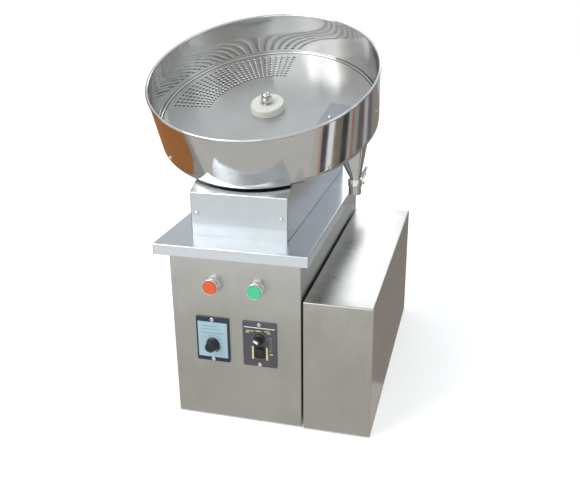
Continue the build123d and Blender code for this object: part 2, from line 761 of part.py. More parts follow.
with BuildPart() as tilt_frame:
    bar(bowl, tilt_plate_width, tilt_plate_length, tilt_plate_bottom, tilt_plate_top)
    rod(bowl, coupling_radius + coupling_play, tilt_plate_bottom, tilt_plate_top, mode=Mode.SUBTRACT)
    for side in (-1, 1):
        leg_start = cabinet_x + side * leg_x - (leg_sheet if side > 0 else 0)
        with BuildSketch(Plane.YZ.offset(leg_start)):
            with BuildLine():
                Polyline((front + leg_front, leg_low), (front + leg_back, leg_low),
                         (front + leg_back, tilt_height(leg_back, tilt_plate_bottom)),
                         (front + leg_front, tilt_height(leg_front, tilt_plate_bottom)), close=True)
            make_face()
        extrude(amount=leg_sheet)
        leg_centre = (cabinet_x + side * (leg_x - (leg_foot_width + leg_sheet) / 2),
                      front + leg_front + leg_length / 2)
        bar(Plane.XY, leg_foot_width + leg_sheet, leg_length, leg_low, leg_low + leg_sheet, [leg_centre])
    rod(Plane.XY, bolt_radius + bolt_play, leg_low, leg_low + leg_sheet, rubber_places, Mode.SUBTRACT)
save(tilt_frame, "tilt_frame")

with BuildPart() as rubber_mounts:
    rod(Plane.XY, rubber_radius, plate_top, leg_low, rubber_places)
    rod(Plane.XY, bolt_radius + bolt_play, plate_top, leg_low, rubber_places, Mode.SUBTRACT)
save(rubber_mounts, "rubber_mounts")

with BuildPart() as frame_bolts:
    rod(Plane.XY, bolt_radius, plate_top - sheet - frame_bolt_end, leg_low + leg_sheet, rubber_places)
    for low in (plate_top - sheet - frame_nut, leg_low + leg_sheet):
        with BuildSketch(Plane.XY.offset(low)):
            with Locations(*rubber_places):
                RegularPolygon(frame_hex_radius, 6, major_radius=False)
        extrude(amount=frame_nut)
save(frame_bolts, "frame_bolts")

# Gear motor hung below the tilted plate
standoff_reach = gearbox_size / 2 - standoff_inset
standoff_places = [(x * standoff_reach, y * standoff_reach) for x in (-1, 1) for y in (-1, 1)]
with BuildPart() as motor_standoffs:
    rod(bowl, standoff_radius, gearbox_top, tilt_plate_bottom, standoff_places)
save(motor_standoffs, "motor_standoffs")

coupling_bottom = coupling_top - coupling_length
with BuildPart() as shaft_coupling:
    rod(bowl, coupling_radius, coupling_bottom, coupling_top)
    chamfer(shaft_coupling.edges().filter_by(GeomType.CIRCLE), coupling_chamfer)
    rod(bowl, shaft_radius, shaft_bottom, coupling_top, mode=Mode.SUBTRACT)
    rod(bowl, output_radius, coupling_bottom, shaft_bottom - shaft_gap, mode=Mode.SUBTRACT)
save(shaft_coupling, "shaft_coupling")

gearbox_bottom = gearbox_top - gearbox_height
with BuildPart() as output_shaft:
    rod(bowl, output_radius, gearbox_bottom + output_depth, shaft_bottom - shaft_gap)
save(output_shaft, "output_shaft")

with BuildPart() as gearbox:
    bar(bowl, gearbox_size, gearbox_size, gearbox_bottom, gearbox_top, corner=gearbox_corner)
    rod(bowl, output_radius + running_play, gearbox_bottom + output_depth - shaft_gap, gearbox_top,
        mode=Mode.SUBTRACT)
save(gearbox, "gearbox")

with BuildPart() as gear_motor:
    motor_bottom = gearbox_bottom - motor_length
    rod(bowl, motor_radius, motor_bottom, gearbox_bottom)
    fillet(gear_motor.faces().sort_by(Axis(bowl.origin, bowl.z_dir))[0].edges(), motor_round)
save(gear_motor, "gear_motor")

# Vibrator: a tube with two caps, and a shaft with two half-round weights in it
vibrator_centre = tilt_plate_bottom - vibrator_radius - vibrator_gap
vibrator = Plane(origin=bowl.from_local_coords((0, vibrator_y, vibrator_centre)), x_dir=bowl.y_dir,
                 z_dir=bowl.x_dir)
vibrator_end = vibrator_length / 2
tube_inner = vibrator_radius - vibrator_wall
with BuildPart() as vibrator_housing:
    rod(vibrator, vibrator_radius, -vibrator_end, vibrator_end)
    bar(bowl, vibrator_length - 2 * saddle_inset, saddle_width, tilt_plate_bottom - saddle_depth,
        tilt_plate_bottom, [(0, vibrator_y)])
    rod(vibrator, tube_inner, -vibrator_end, vibrator_end, mode=Mode.SUBTRACT)
save(vibrator_housing, "vibrator_housing")

with BuildPart() as vibrator_caps:
    for low in (-vibrator_end - vibrator_cap, vibrator_end):
        rod(vibrator, vibrator_radius, low, low + vibrator_cap)
        rod(vibrator, vibrator_shaft_radius + running_play, low, low + vibrator_cap, mode=Mode.SUBTRACT)
save(vibrator_caps, "vibrator_caps")

with BuildPart() as vibrator_rotor:
    rod(vibrator, vibrator_shaft_radius, -vibrator_end - vibrator_cap, vibrator_end + vibrator_cap)
    for low in (-vibrator_end + weight_inset, vibrator_end - weight_inset - weight_length):
        with BuildSketch(vibrator.offset(low)):
            Circle(weight_radius)
            with Locations((weight_radius / 2, 0)):
                Rectangle(weight_radius, 2 * weight_radius, mode=Mode.SUBTRACT)
        extrude(amount=weight_length)
save(vibrator_rotor, "vibrator_rotor")

# Shield over the discharge window, with the brush below it
shield_end = inner_wall(shield_bottom) - shield_wall_gap
shield_middle = (shield_start + shield_end) / 2
tab_high = shield_bottom + shield_tab_height
tab_screw = radial(bowl, shield_angle, 0, shield_bottom + shield_screw_height)
shield_screw_place = (shield_start + shield_screw_inset, brush_y)
with BuildPart() as discharge_shield:
    bar(shield_plane, shield_end - shield_start, shield_width, shield_bottom,
        shield_bottom + shield_sheet, [(shield_middle, 0)])
    bar(shield_plane, shield_sheet, shield_tab_width, shield_bottom, tab_high,
        [(shield_end - shield_sheet / 2, 0)])
    rod(tab_screw, screw_radius + screw_play, shield_end - hole_reach, shield_end + hole_reach,
        mode=Mode.SUBTRACT)
    rod(shield_plane, screw_radius + screw_play, shield_bottom, shield_bottom + shield_sheet,
        [shield_screw_place], Mode.SUBTRACT)
save(discharge_shield, "discharge_shield")

with BuildPart() as tablet_brush:
    brush_length = shield_end - shield_start - brush_shortfall
    bar(shield_plane, brush_length, brush_width, disc_top + brush_play, shield_bottom,
        [(shield_start + brush_inset + brush_length / 2, brush_y)])
    rod(shield_plane, screw_radius + screw_play, shield_bottom - shield_lift + 2 * brush_play, shield_bottom,
        [shield_screw_place], Mode.SUBTRACT)
save(tablet_brush, "tablet_brush")

with BuildPart() as shield_screws:
    stem = Plane(origin=shield_plane.from_local_coords((*shield_screw_place, shield_bottom + shield_sheet)),
                 x_dir=shield_plane.x_dir, z_dir=shield_plane.z_dir)
    dome_screw(stem, shield_sheet + shield_lift - 3 * brush_play)
    screw_level = shield_bottom + shield_screw_height
    outside = inner_wall(screw_level) + wall_sheet + wall_screw_play
    dome_screw(radial(bowl, shield_angle, outside, screw_level), outside - shield_end + wall_screw_length)
    wall_spacer = radial(bowl, shield_angle, shield_end + screw_play, screw_level)
    rod(wall_spacer, shield_spacer_radius, 0, inner_wall(screw_level) - shield_end - 6 * screw_play)
save(shield_screws, "shield_screws")

# Funnel: a lofted chute from the window to a spout, with a clamped nozzle on the spout
funnel_axis = (cabinet_x + funnel_x, front + funnel_y)
spout_radius = nozzle_radius - nozzle_wall - nozzle_play
with BuildPart() as discharge_funnel:
    for inset, mode in ((0, Mode.ADD), (funnel_sheet, Mode.SUBTRACT)):
        with BuildSketch(bowl.offset(floor_bottom)):
            with Locations((window_x, window_y)):
                Ellipse(window_length / 2 + funnel_sheet - inset, window_width / 2 + funnel_sheet - inset)
        with BuildSketch(Plane.XY.offset(funnel_neck)):
            with Locations(funnel_axis):
                Circle(spout_radius - inset)
        loft(mode=mode)
        rod(Plane.XY, spout_radius - inset, spout_bottom, funnel_neck, [funnel_axis], mode)
    with BuildSketch(bowl.offset(floor_bottom - funnel_sheet)):
        with Locations((window_x, window_y)):
            Ellipse(window_length / 2 + funnel_rim, window_width / 2 + funnel_rim)
            Ellipse(window_length / 2 - 0.5, window_width / 2 - 0.5, mode=Mode.SUBTRACT)
    extrude(amount=funnel_sheet)
save(discharge_funnel, "discharge_funnel")

# The nozzle's tube has a thicker collar for the clamping screw, and a lug that leans outwards from it
nozzle_side = Plane(origin=(*funnel_axis, nozzle_screw_height), x_dir=(0, 1, 0), z_dir=(1, 0, 0))
lug_foot = Plane(origin=(funnel_axis[0] + collar_radius - nozzle_wall / 2, funnel_axis[1],
                         nozzle_top - lug_drop),
                 x_dir=(0, 1, 0), z_dir=(sin(radians(lug_lean)), 0, cos(radians(lug_lean))))
with BuildPart() as outlet_nozzle:
    rod(Plane.XY, nozzle_radius, nozzle_bottom, nozzle_top, [funnel_axis])
    rod(Plane.XY, collar_radius, collar_bottom, nozzle_top, [funnel_axis])
    bar(lug_foot, lug_width, nozzle_wall, 0, lug_length)
    rod(Plane.XY, nozzle_radius - nozzle_wall, nozzle_bottom, nozzle_top, [funnel_axis], Mode.SUBTRACT)
    rod(nozzle_side, screw_radius + screw_play, 0, 2 * collar_radius, mode=Mode.SUBTRACT)
save(outlet_nozzle, "outlet_nozzle")

with BuildPart() as nozzle_screw:
    knob_low = collar_radius + nozzle_knob_gap
    rod(nozzle_side, screw_radius, spout_radius + bearing_fit, knob_low)
    rod(nozzle_side, nozzle_knob_radius, knob_low, knob_low + nozzle_knob_length)
save(nozzle_screw, "nozzle_screw")

# Push buttons
for name, (x, z) in button_places.items():
    button = Plane(origin=panel.from_local_coords((x, z, 0)), x_dir=panel.x_dir, z_dir=panel.z_dir)
    recess = cap_radius + cap_play
    with BuildPart() as button_bezel:
        turn(button, (barrel_bore, -barrel_length), (barrel_radius, -barrel_length), (barrel_radius, 0),
             (bezel_radius, 0), (bezel_radius, bezel_depth - lip), (bezel_radius - lip, bezel_depth),
             (recess, bezel_depth), (recess, barrel_floor), (barrel_bore, barrel_floor))
    save(button_bezel, name + "_button_bezel")
    face = bezel_depth + cap_proud
    stem_radius = barrel_bore - running_play
    with BuildPart() as button_cap:
        stem_low = -barrel_length + cap_travel + cap_stop
        turn(button, (0, stem_low), (stem_radius, stem_low), (stem_radius, face - cap_depth),
             (cap_radius, face - cap_depth), (cap_radius, face - cap_edge),
             (cap_radius - cap_edge, face), (0, face))
    save(button_cap, name + "_button_cap")

with BuildPart() as button_nuts:
    rod(panel, bezel_radius + button_nut_rim, -sheet - button_nut, -sheet, button_places.values())
    rod(panel, barrel_radius, -sheet - button_nut, -sheet, button_places.values(), Mode.SUBTRACT)
save(button_nuts, "button_nuts")

with BuildPart() as contact_blocks:
    bar(panel, block_width, block_height, -barrel_length - block_depth, -barrel_length,
        button_places.values())
save(contact_blocks, "contact_blocks")

# Two control units: face plate, housing behind it, knob; the right one has a rocker switch
rocker_place = (panel_x, rocker_height)
rocker_hole_width = rocker_frame_width - 2 * rocker_frame_lip
rocker_hole_length = rocker_frame_length - 2 * rocker_frame_lip
for side, centre in panel_centres.items():
    knob_x, knob_z = knob_places[side]
    with BuildPart() as face_plate:
        bar(panel, panel_width, panel_length, 0, panel_thick, [centre], corner=panel_corner)
        rod(panel, spindle_radius + spindle_play, 0, panel_thick, [(knob_x, knob_z)], Mode.SUBTRACT)
        rod(panel, screw_radius + screw_play, 0, panel_thick, panel_screw_places, Mode.SUBTRACT)
        if side == "right":
            bar(panel, rocker_hole_width, rocker_hole_length, 0, panel_thick, [rocker_place],
                Mode.SUBTRACT)
    save(face_plate, side + "_face_plate")

with BuildPart() as control_units:
    bar(panel, unit_width, unit_length, -unit_depth, 0, panel_centres.values())
    bar(panel, rocker_frame_width, rocker_frame_length, -rocker_frame_depth - rocker_frame_proud, 0,
        [rocker_place], Mode.SUBTRACT)
    rod(panel, spindle_radius + running_play, -spindle_length - shaft_gap, 0, knob_places.values(),
        Mode.SUBTRACT)
save(control_units, "control_units")

with BuildPart() as panel_screws:
    for x, z in panel_screw_places:
        dome_screw(Plane(origin=panel.from_local_coords((x, z, panel_thick)), x_dir=panel.x_dir,
                         z_dir=panel.z_dir), panel_thick + 2 * sheet)
save(panel_screws, "panel_screws")

knob_sizes = {"left": (knob_radius, knob_depth), "right": (right_knob_radius, knob_depth - knob_shortfall)}
for side, (radius, depth) in knob_sizes.items():
    x, z = knob_places[side]
    knob = Plane(origin=panel.from_local_coords((x, z, panel_thick + knob_gap)), x_dir=panel.x_dir,
                 z_dir=panel.z_dir)
    with BuildPart() as control_knob:
        grip = radius - skirt_step
        turn(knob, (0, 0), (radius, 0), (radius, skirt_height), (grip, skirt_height + skirt_edge),
             (grip, depth - skirt_edge), (grip - skirt_edge, depth), (0, depth))
        rod(knob, spindle_radius, -panel_thick - knob_gap - spindle_length, 0)
        if side == "left":
            bar(spun(knob, nose_angle), radius, nose_width, 0, skirt_height, [(radius / 2 + nose_reach, 0)])
    save(control_knob, side + "_knob")

with BuildPart() as rocker_frame:
    frame_front = panel_thick + rocker_frame_proud
    bar(panel, rocker_frame_width, rocker_frame_length, panel_thick, frame_front, [rocker_place],
        corner=rocker_frame_lip)
    bar(panel, rocker_hole_width - 2 * rocker_frame_play, rocker_hole_length - 2 * rocker_frame_play,
        -rocker_frame_depth, panel_thick, [rocker_place])
    bar(panel, rocker_width + 2 * rocker_play, rocker_length + 2 * rocker_end_play, -rocker_cavity,
        frame_front, [rocker_place], Mode.SUBTRACT)
save(rocker_frame, "rocker_frame")

# Rocker: round behind, two shallow slopes in front, resting with its lower end pressed in
rocker_pivot = spun(Plane(origin=panel.from_local_coords((*rocker_place, frame_front - rocker_pivot_depth)),
                          x_dir=(0, -1, 0), z_dir=(1, 0, 0)), rocker_rest_angle)
half = rocker_length / 2
with BuildPart() as rocker:
    with BuildSketch(rocker_pivot.offset(-rocker_width / 2)):
        with BuildLine():
            Polyline((0, -half), (rocker_rise, -half), (rocker_dip, 0), (rocker_rise, half), (0, half))
            ThreePointArc((0, half), (-half, 0), (0, -half))
        make_face()
    extrude(amount=rocker_width)
save(rocker, "rocker")

# Contactor on the cabinet's base
with BuildPart() as contactor:
    contactor_low = foot_height + sheet
    bar(Plane.XY, contactor_width, contactor_length, contactor_low, contactor_low + contactor_height,
        [(cabinet_x, back - contactor_inset)])
    chamfer(contactor.edges().filter_by(Axis.Z), contactor_corner)
save(contactor, "contactor")
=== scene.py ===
import json
import math

import bmesh
import bpy
import numpy as np
from mathutils import Matrix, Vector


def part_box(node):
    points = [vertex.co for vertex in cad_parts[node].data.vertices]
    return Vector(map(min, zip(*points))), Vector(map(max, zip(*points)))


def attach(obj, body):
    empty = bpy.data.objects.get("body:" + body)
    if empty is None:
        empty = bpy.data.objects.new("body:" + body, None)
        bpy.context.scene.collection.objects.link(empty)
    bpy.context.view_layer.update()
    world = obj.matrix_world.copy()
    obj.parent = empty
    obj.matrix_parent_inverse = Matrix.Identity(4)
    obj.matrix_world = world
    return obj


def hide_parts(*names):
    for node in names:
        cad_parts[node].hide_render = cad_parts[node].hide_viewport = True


# A disc tablet counter: satin steel cabinet and side box, a sloping riser, and a tilted polished
# bowl with a drilled disc. Metres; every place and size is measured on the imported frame.
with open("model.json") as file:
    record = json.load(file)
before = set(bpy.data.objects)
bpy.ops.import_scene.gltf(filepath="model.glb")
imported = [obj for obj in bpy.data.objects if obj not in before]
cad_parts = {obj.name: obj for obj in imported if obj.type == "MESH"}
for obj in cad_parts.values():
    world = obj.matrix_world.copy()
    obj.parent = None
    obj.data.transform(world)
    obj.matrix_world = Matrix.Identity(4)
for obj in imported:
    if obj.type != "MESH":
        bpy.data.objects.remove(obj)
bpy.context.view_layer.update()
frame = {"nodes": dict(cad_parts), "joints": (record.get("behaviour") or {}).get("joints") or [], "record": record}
nodes = frame["nodes"]
joints = {joint["name"]: joint for joint in frame["joints"]}
print("frame loaded:", len(nodes), "nodes")


# ---- places and measures

def unit(vector):
    vector = np.asarray(vector, float)
    return vector / np.linalg.norm(vector)


def placeAt(origin, xAxis, zAxis):
    # axes of a place as columns, with its origin: x and z are given, y follows
    x, z = unit(xAxis), unit(zAxis)
    place = np.eye(4)
    place[:3, 0], place[:3, 1], place[:3, 2], place[:3, 3] = x, np.cross(z, x), z, origin
    return place


def moved(place, x=0.0, y=0.0, z=0.0, turn=0.0):
    # the place shifted along its own axes, then turned about its z axis by degrees
    c, s = math.cos(math.radians(turn)), math.sin(math.radians(turn))
    step = np.array([[c, -s, 0, x], [s, c, 0, y], [0, 0, 1, z], [0, 0, 0, 1]], float)
    return place @ step


def toWorld(points, place):
    return points @ place[:3, :3].T + place[:3, 3]


def nodePoints(name):
    mesh = nodes[name].data
    points = np.zeros(len(mesh.vertices) * 3, np.float32)
    mesh.vertices.foreach_get("co", points)
    return points.reshape(-1, 3).astype(float)


def localPoints(name, place):
    return (nodePoints(name) - place[:3, 3]) @ place[:3, :3]


def span(name, place):
    # a node's lowest and highest x, y and z in a place's axes
    points = localPoints(name, place)
    return points.min(0), points.max(0)


def radii(name, place, low=-9.0, high=9.0):
    # a node's smallest and largest distance from the place's z axis, between two heights
    points = localPoints(name, place)
    chosen = points[(points[:, 2] >= low) & (points[:, 2] <= high)]
    distance = np.hypot(chosen[:, 0], chosen[:, 1])
    return distance.min(), distance.max()


def turnedSizes(name, place):
    # lowest and highest point along the place's z axis, then smallest and largest radius
    low, high = span(name, place)
    return (low[2], high[2], *radii(name, place))


def middleOf(name, place):
    low, high = span(name, place)
    return (low + high)[:2] / 2


def islands(name):
    # the middle of each separate solid of a node, as an array of points
    work = bmesh.new()
    work.from_mesh(nodes[name].data)
    bmesh.ops.remove_doubles(work, verts=work.verts, dist=1e-6)
    left, middles = set(work.verts), []
    while left:
        stack, group = [left.pop()], []
        while stack:
            vertex = stack.pop()
            group.append(vertex.co[:])
            for edge in vertex.link_edges:
                other = edge.other_vert(vertex)
                if other in left:
                    left.remove(other)
                    stack.append(other)
        group = np.array(group)
        middles.append((group.min(0) + group.max(0)) / 2)
    work.free()
    return np.array(middles)


bowl = placeAt(joints["disc_spin"]["pos_m"], (1, 0, 0), joints["disc_spin"]["axis"])
bowl = moved(bowl, z=localPoints("bowl_wall", bowl)[:, 2].min())
cabinetLow, cabinetHigh = (np.array(corner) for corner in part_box("cabinet_shell"))
frontY, cabinetX = cabinetLow[1], (cabinetLow[0] + cabinetHigh[0]) / 2
panel = placeAt((cabinetX, frontY, 0), (1, 0, 0), (0, -1, 0))
ground = np.eye(4)


# ---- outlines and surfaces

quarter = math.pi / 2


def arc(x, y, radius, start, end, steps):
    # a run of (x, y) points on a circle, between two angles
    turn = np.linspace(start, end, steps)
    return np.stack([x + radius * np.cos(turn), y + radius * np.sin(turn)], -1)


def around(radius, angle, height, centre=(0, 0), radiusY=None):
    # points on circles or ellipses round a centre, one for each radius, angle and height
    across = radius if radiusY is None else radiusY
    return np.stack(np.broadcast_arrays(centre[0] + radius * np.cos(angle),
                                        centre[1] + across * np.sin(angle), height), -1)


def rounded(points, radius, steps=6):
    # an open outline whose inner corners are arcs: each arc touches both runs, and its radius
    # is cut back where a run is short
    points = np.asarray(points, float)
    sizes = np.broadcast_to(np.asarray(radius, float), len(points) - 2)
    parts = [points[:1]]
    for before, corner, after, size in zip(points, points[1:], points[2:], sizes):
        a, b = unit(before - corner), unit(after - corner)
        half = math.acos(np.clip(a @ b, -1, 1)) / 2
        if size <= 0 or half > 1.55:
            parts.append(corner[None])
            continue
        reach = min(size / math.tan(half), 0.48 * np.linalg.norm(before - corner),
                    0.48 * np.linalg.norm(after - corner))
        size = reach * math.tan(half)
        centre = corner + unit(a + b) * size / math.sin(half)
        start, end = unit(corner + a * reach - centre), unit(corner + b * reach - centre)
        sweep = math.pi - 2 * half
        t = np.linspace(0, 1, steps)[:, None]
        parts.append(centre + size * (np.sin((1 - t) * sweep) * start + np.sin(t * sweep) * end)
                     / math.sin(sweep))
    parts.append(points[-1:])
    return np.concatenate(parts)


def turned(profile, place, steps=96, wobble=None):
    # a (radius, height) profile carried round the place's z axis; wobble adds to the radius
    profile = np.asarray(profile, float)
    angle = np.linspace(0, 2 * math.pi, steps + 1)
    radius = np.broadcast_to(profile[:, :1], (len(profile), steps + 1))
    if wobble is not None:
        radius = radius + wobble(angle[None, :], profile[:, 1:2])
    points = around(radius, angle, profile[:, 1:2])
    along = np.concatenate([[0], np.cumsum(np.linalg.norm(np.diff(profile, axis=0), axis=1))])
    uv = np.stack(np.broadcast_arrays(angle[None] * profile[:, 0].max(), along[:, None]), -1)
    return {"grid": toWorld(points, place), "uv": uv}


def rings(outline, corner, insets, steps=6):
    # an outline moved inwards by each inset: a corner's arc keeps its centre until the inset
    # has used its radius up, and from there the corner is sharp
    outline = np.asarray(outline, float)
    size = np.broadcast_to(np.asarray(corner, float), len(outline))
    run = np.roll(outline, -1, axis=0) - outline
    run /= np.linalg.norm(run, axis=1)[:, None]
    inward = np.stack([-run[:, 1], run[:, 0]], -1)
    before = np.roll(inward, 1, axis=0)
    dot = (before * inward).sum(1)[:, None]
    toCentre = (before + inward) / (1 + dot)
    sweep = np.maximum(np.arccos(np.clip(dot, -1, 1)), 1e-6)
    t = np.linspace(0, 1, steps)[None, :]
    outwards = -(np.sin((1 - t) * sweep)[..., None] * before[:, None]
                 + np.sin(t * sweep)[..., None] * inward[:, None]) / np.sin(sweep)[..., None]
    insets = np.asarray(insets, float)[:, None]
    reach = np.maximum(size[None], insets)
    centres = outline[None] + toCentre[None] * reach[..., None]
    ring = centres[:, :, None] + (reach - insets)[..., None, None] * outwards[None]
    return ring.reshape(len(insets), -1, 2)


def wrapped(outline, stations, place, corner=0.0, steps=6, capStart=True, capEnd=True):
    # rings of an outline at (inset, height) stations along the place's z axis, skinned, with
    # a flat cap on the first and the last ring
    stations = np.asarray(stations, float)
    ring = rings(outline, corner, stations[:, 0], steps)
    height = np.broadcast_to(stations[:, 1][:, None, None], ring.shape[:2] + (1,))
    grid = toWorld(np.concatenate([ring, height], -1), place)
    caps = ([grid[0]] if capStart else []) + ([grid[-1]] if capEnd else [])
    return {"grid": np.concatenate([grid, grid[:, :1]], 1), "caps": caps}


def rectangle(x, y, width, length):
    halfX, halfY = width / 2, length / 2
    return np.array([(x - halfX, y - halfY), (x + halfX, y - halfY),
                     (x + halfX, y + halfY), (x - halfX, y + halfY)])


def blockStations(low, high, edge, steps=4):
    # a solid block's sides with a small round at both ends
    turn = np.linspace(0, quarter, steps)
    lower = [(edge - edge * math.sin(a), low + edge - edge * math.cos(a)) for a in turn]
    return lower + [(inset, low + high - height) for inset, height in lower[::-1]]


def traySheet(low, high, sheet, bend, edge=0.0003, steps=6):
    # stations of a tray turned over: over the top's bend, down the wall, round its lower edge
    # and up the inside to the underside of the top
    t = np.linspace(0, quarter, steps)
    outer = [(bend - bend * math.sin(a), high - bend + bend * math.cos(a)) for a in t]
    rim = [(edge - edge * math.cos(a), low + edge - edge * math.sin(a)) for a in t]
    back = [(sheet - edge + edge * math.sin(a), low + edge - edge * math.cos(a)) for a in t]
    inner = bend - sheet
    under = [(bend - inner * math.cos(a), high - bend + inner * math.sin(a)) for a in t]
    return outer + rim + back + under


def slab(place, x, y, width, length, low, high, corner=0.0, edge=0.0, steps=4):
    # a flat block with rounded corners and, if asked, a soft edge
    stations = blockStations(low, high, edge) if edge else [(0, low), (0, high)]
    return wrapped(rectangle(x, y, width, length), stations, place, corner, steps if corner else 2)


def hexRadius(angle, flats):
    # distance of a hexagon's side from its middle, in each direction
    third = math.pi / 3
    return flats / 2 / np.cos((angle + third / 2) % third - third / 2)


def hexSolid(place, flats, low, high, chamfer, steps=72):
    # a hexagon bar whose ends are cut by cones, as a turned nut or bolt head is
    angle = np.linspace(0, 2 * math.pi, steps + 1)[None]
    heights = np.array([low, low, low + chamfer, high - chamfer, high, high])
    tip = flats / math.sqrt(3)
    cone = np.array([0, tip - 1.7 * chamfer, tip, tip, tip - 1.7 * chamfer, 0])
    radius = np.minimum(hexRadius(angle, flats), cone[:, None])
    return {"grid": toWorld(around(radius, angle, heights[:, None]), place)}


# ---- meshes

def joined(patches):
    # vertices, faces, face materials and corner UVs of a list of patches
    vertices, loops, sizes, slots, uvs, start = [], [], [], [], [], 0
    for patch in patches:
        grid = patch["grid"]
        rows, columns = grid.shape[:2]
        vertices.append(grid.reshape(-1, 3))
        first = np.arange(rows - 1)[:, None] * columns + np.arange(columns - 1)[None]
        first = start + first.ravel()
        quads = np.stack([first, first + 1, first + columns + 1, first + columns], -1)
        if "keep" in patch:
            quads = quads[patch["keep"].ravel()]
        loops.append(quads.ravel())
        sizes.append(np.full(len(quads), 4))
        uv = patch.get("uv")
        flat = np.zeros((rows * columns, 2)) if uv is None else uv.reshape(-1, 2)
        uvs.append(flat[quads.ravel() - start])
        start += rows * columns
        for cap in patch.get("caps", []):
            vertices.append(cap)
            loops.append(np.arange(start, start + len(cap)))
            sizes.append(np.array([len(cap)]))
            uvs.append(np.zeros((len(cap), 2)))
            start += len(cap)
        slots.append(np.full(sum(len(s) for s in sizes) - sum(len(s) for s in slots),
                             patch.get("material", 0)))
    return (np.concatenate(vertices), np.concatenate(loops), np.concatenate(sizes),
            np.concatenate(slots), np.concatenate(uvs))


def meshObject(name, patches, merge=1e-6):
    vertices, loops, sizes, slots, uvs = joined(patches)
    mesh = bpy.data.meshes.new(name)
    mesh.vertices.add(len(vertices))
    mesh.vertices.foreach_set("co", vertices.astype(np.float32).ravel())
    mesh.loops.add(len(loops))
    mesh.loops.foreach_set("vertex_index", loops.astype(np.int32))
    mesh.polygons.add(len(sizes))
    starts = np.concatenate([[0], np.cumsum(sizes)[:-1]])
    mesh.polygons.foreach_set("loop_start", starts.astype(np.int32))
    mesh.polygons.foreach_set("material_index", slots.astype(np.int32))
    mesh.update(calc_edges=True)
    layer = mesh.uv_layers.new(name="surface")
    layer.uv.foreach_set("vector", uvs.astype(np.float32).ravel())
    work = bmesh.new()
    work.from_mesh(mesh)
    bmesh.ops.remove_doubles(work, verts=work.verts, dist=merge)
    bmesh.ops.dissolve_degenerate(work, edges=work.edges, dist=merge)
    bmesh.ops.recalc_face_normals(work, faces=work.faces)
    work.to_mesh(mesh)
    work.free()
    piece = bpy.data.objects.new(name, mesh)
    bpy.context.scene.collection.objects.link(piece)
    return piece


def cutAway(piece, cutters):
    # the piece less a list of closed cutters
    for patches in cutters:
        cutter = meshObject("cutter", patches)
        cut = piece.modifiers.new("cut", "BOOLEAN")
        cut.object, cut.operation, cut.solver = cutter, "DIFFERENCE", "EXACT"
        bpy.context.view_layer.update()
        graph = bpy.context.evaluated_depsgraph_get()
        mesh = bpy.data.meshes.new_from_object(piece.evaluated_get(graph))
        piece.modifiers.clear()
        piece.data = mesh
        bpy.data.objects.remove(cutter)


def finished(piece, body, slotName, materials, replaced, sharp=35, weighted=False):
    # smooth shading with sharp edges kept, materials, and the piece's place in the frame
    mesh = piece.data
    for material in materials:
        mesh.materials.append(material)
    mesh.polygons.foreach_set("use_smooth", np.ones(len(mesh.polygons), bool))
    mesh.set_sharp_from_angle(angle=math.radians(sharp))
    if weighted:
        even = piece.modifiers.new("even normals", "WEIGHTED_NORMAL")
        even.keep_sharp = True
        even.weight = 90
    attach(piece, body)
    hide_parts(*replaced)
    return piece


def makePiece(name, patches, body, slotName, replaced, materials=None, cutters=(), **shading):
    piece = meshObject(name, patches)
    cutAway(piece, cutters)
    return finished(piece, body, slotName, materials or [finishes[slotName]], replaced, **shading)


# ---- materials

def material(name, **values):
    # a principled material with its constants set on the shader's own sockets
    made = bpy.data.materials.new(name)
    made.use_nodes = True
    shader = made.node_tree.nodes["Principled BSDF"]
    for socket, value in values.items():
        shader.inputs[socket].default_value = value
    return made, made.node_tree, shader


def addNode(tree, kind, links=(), **settings):
    # a node with its properties and inputs; links are (output socket, input name) pairs
    made = tree.nodes.new(kind)
    for key, value in settings.items():
        if hasattr(made, key):
            setattr(made, key, value)
        else:
            made.inputs[key.replace("_", " ")].default_value = value
    for output, name in links:
        tree.links.new(output, made.inputs[name])
    return made


def coordinates(tree, scale, source="Object"):
    origin = addNode(tree, "ShaderNodeTexCoord").outputs[source]
    return addNode(tree, "ShaderNodeMapping", [(origin, "Vector")], Scale=scale).outputs[0]


def noise(tree, scale, detail=4.0, source="Object", rough=0.55, vector=None):
    # a noise of one scale for each axis, or one along a given vector
    vector = vector or coordinates(tree, scale, source)
    return addNode(tree, "ShaderNodeTexNoise", [(vector, "Vector")], Scale=1.0, Detail=detail,
                   Roughness=rough).outputs["Fac"]


def between(tree, value, low, high, fromLow=0.3, fromHigh=0.7):
    # the value's middle band stretched to a range
    return addNode(tree, "ShaderNodeMapRange", [(value, "Value")], **{
        "From_Min": fromLow, "From_Max": fromHigh, "To_Min": low, "To_Max": high}).outputs[0]


def calculated(tree, operation, first, second):
    # two sockets, or a socket and a number, put together by a math operation
    made = addNode(tree, "ShaderNodeMath", [(first, 0)], operation=operation)
    if isinstance(second, float):
        made.inputs[1].default_value = second
    else:
        tree.links.new(second, made.inputs[1])
    return made.outputs[0]


def blended(tree, factor, first, second, blend="MIX"):
    # a colour that goes from the first to the second with the factor; each is a socket or a
    # constant
    mix = addNode(tree, "ShaderNodeMix", data_type="RGBA", blend_type=blend)
    for name, value in (("Factor", factor), ("A", first), ("B", second)):
        if isinstance(value, bpy.types.NodeSocket):
            tree.links.new(value, mix.inputs[name])
        else:
            mix.inputs[name].default_value = (*value, 1) if isinstance(value, tuple) else value
    return mix.outputs["Result"]


def bumped(tree, height, distance, strength=1.0, under=None):
    links = [(height, "Height")] + ([(under, "Normal")] if under else [])
    return addNode(tree, "ShaderNodeBump", links, Distance=distance, Strength=strength).outputs[0]


def wired(tree, shader, colour, roughness, normal):
    for name, output in (("Base Color", colour), ("Roughness", roughness), ("Normal", normal)):
        tree.links.new(output, shader.inputs[name])


def darker(colour, share):
    return tuple(channel * share for channel in colour)


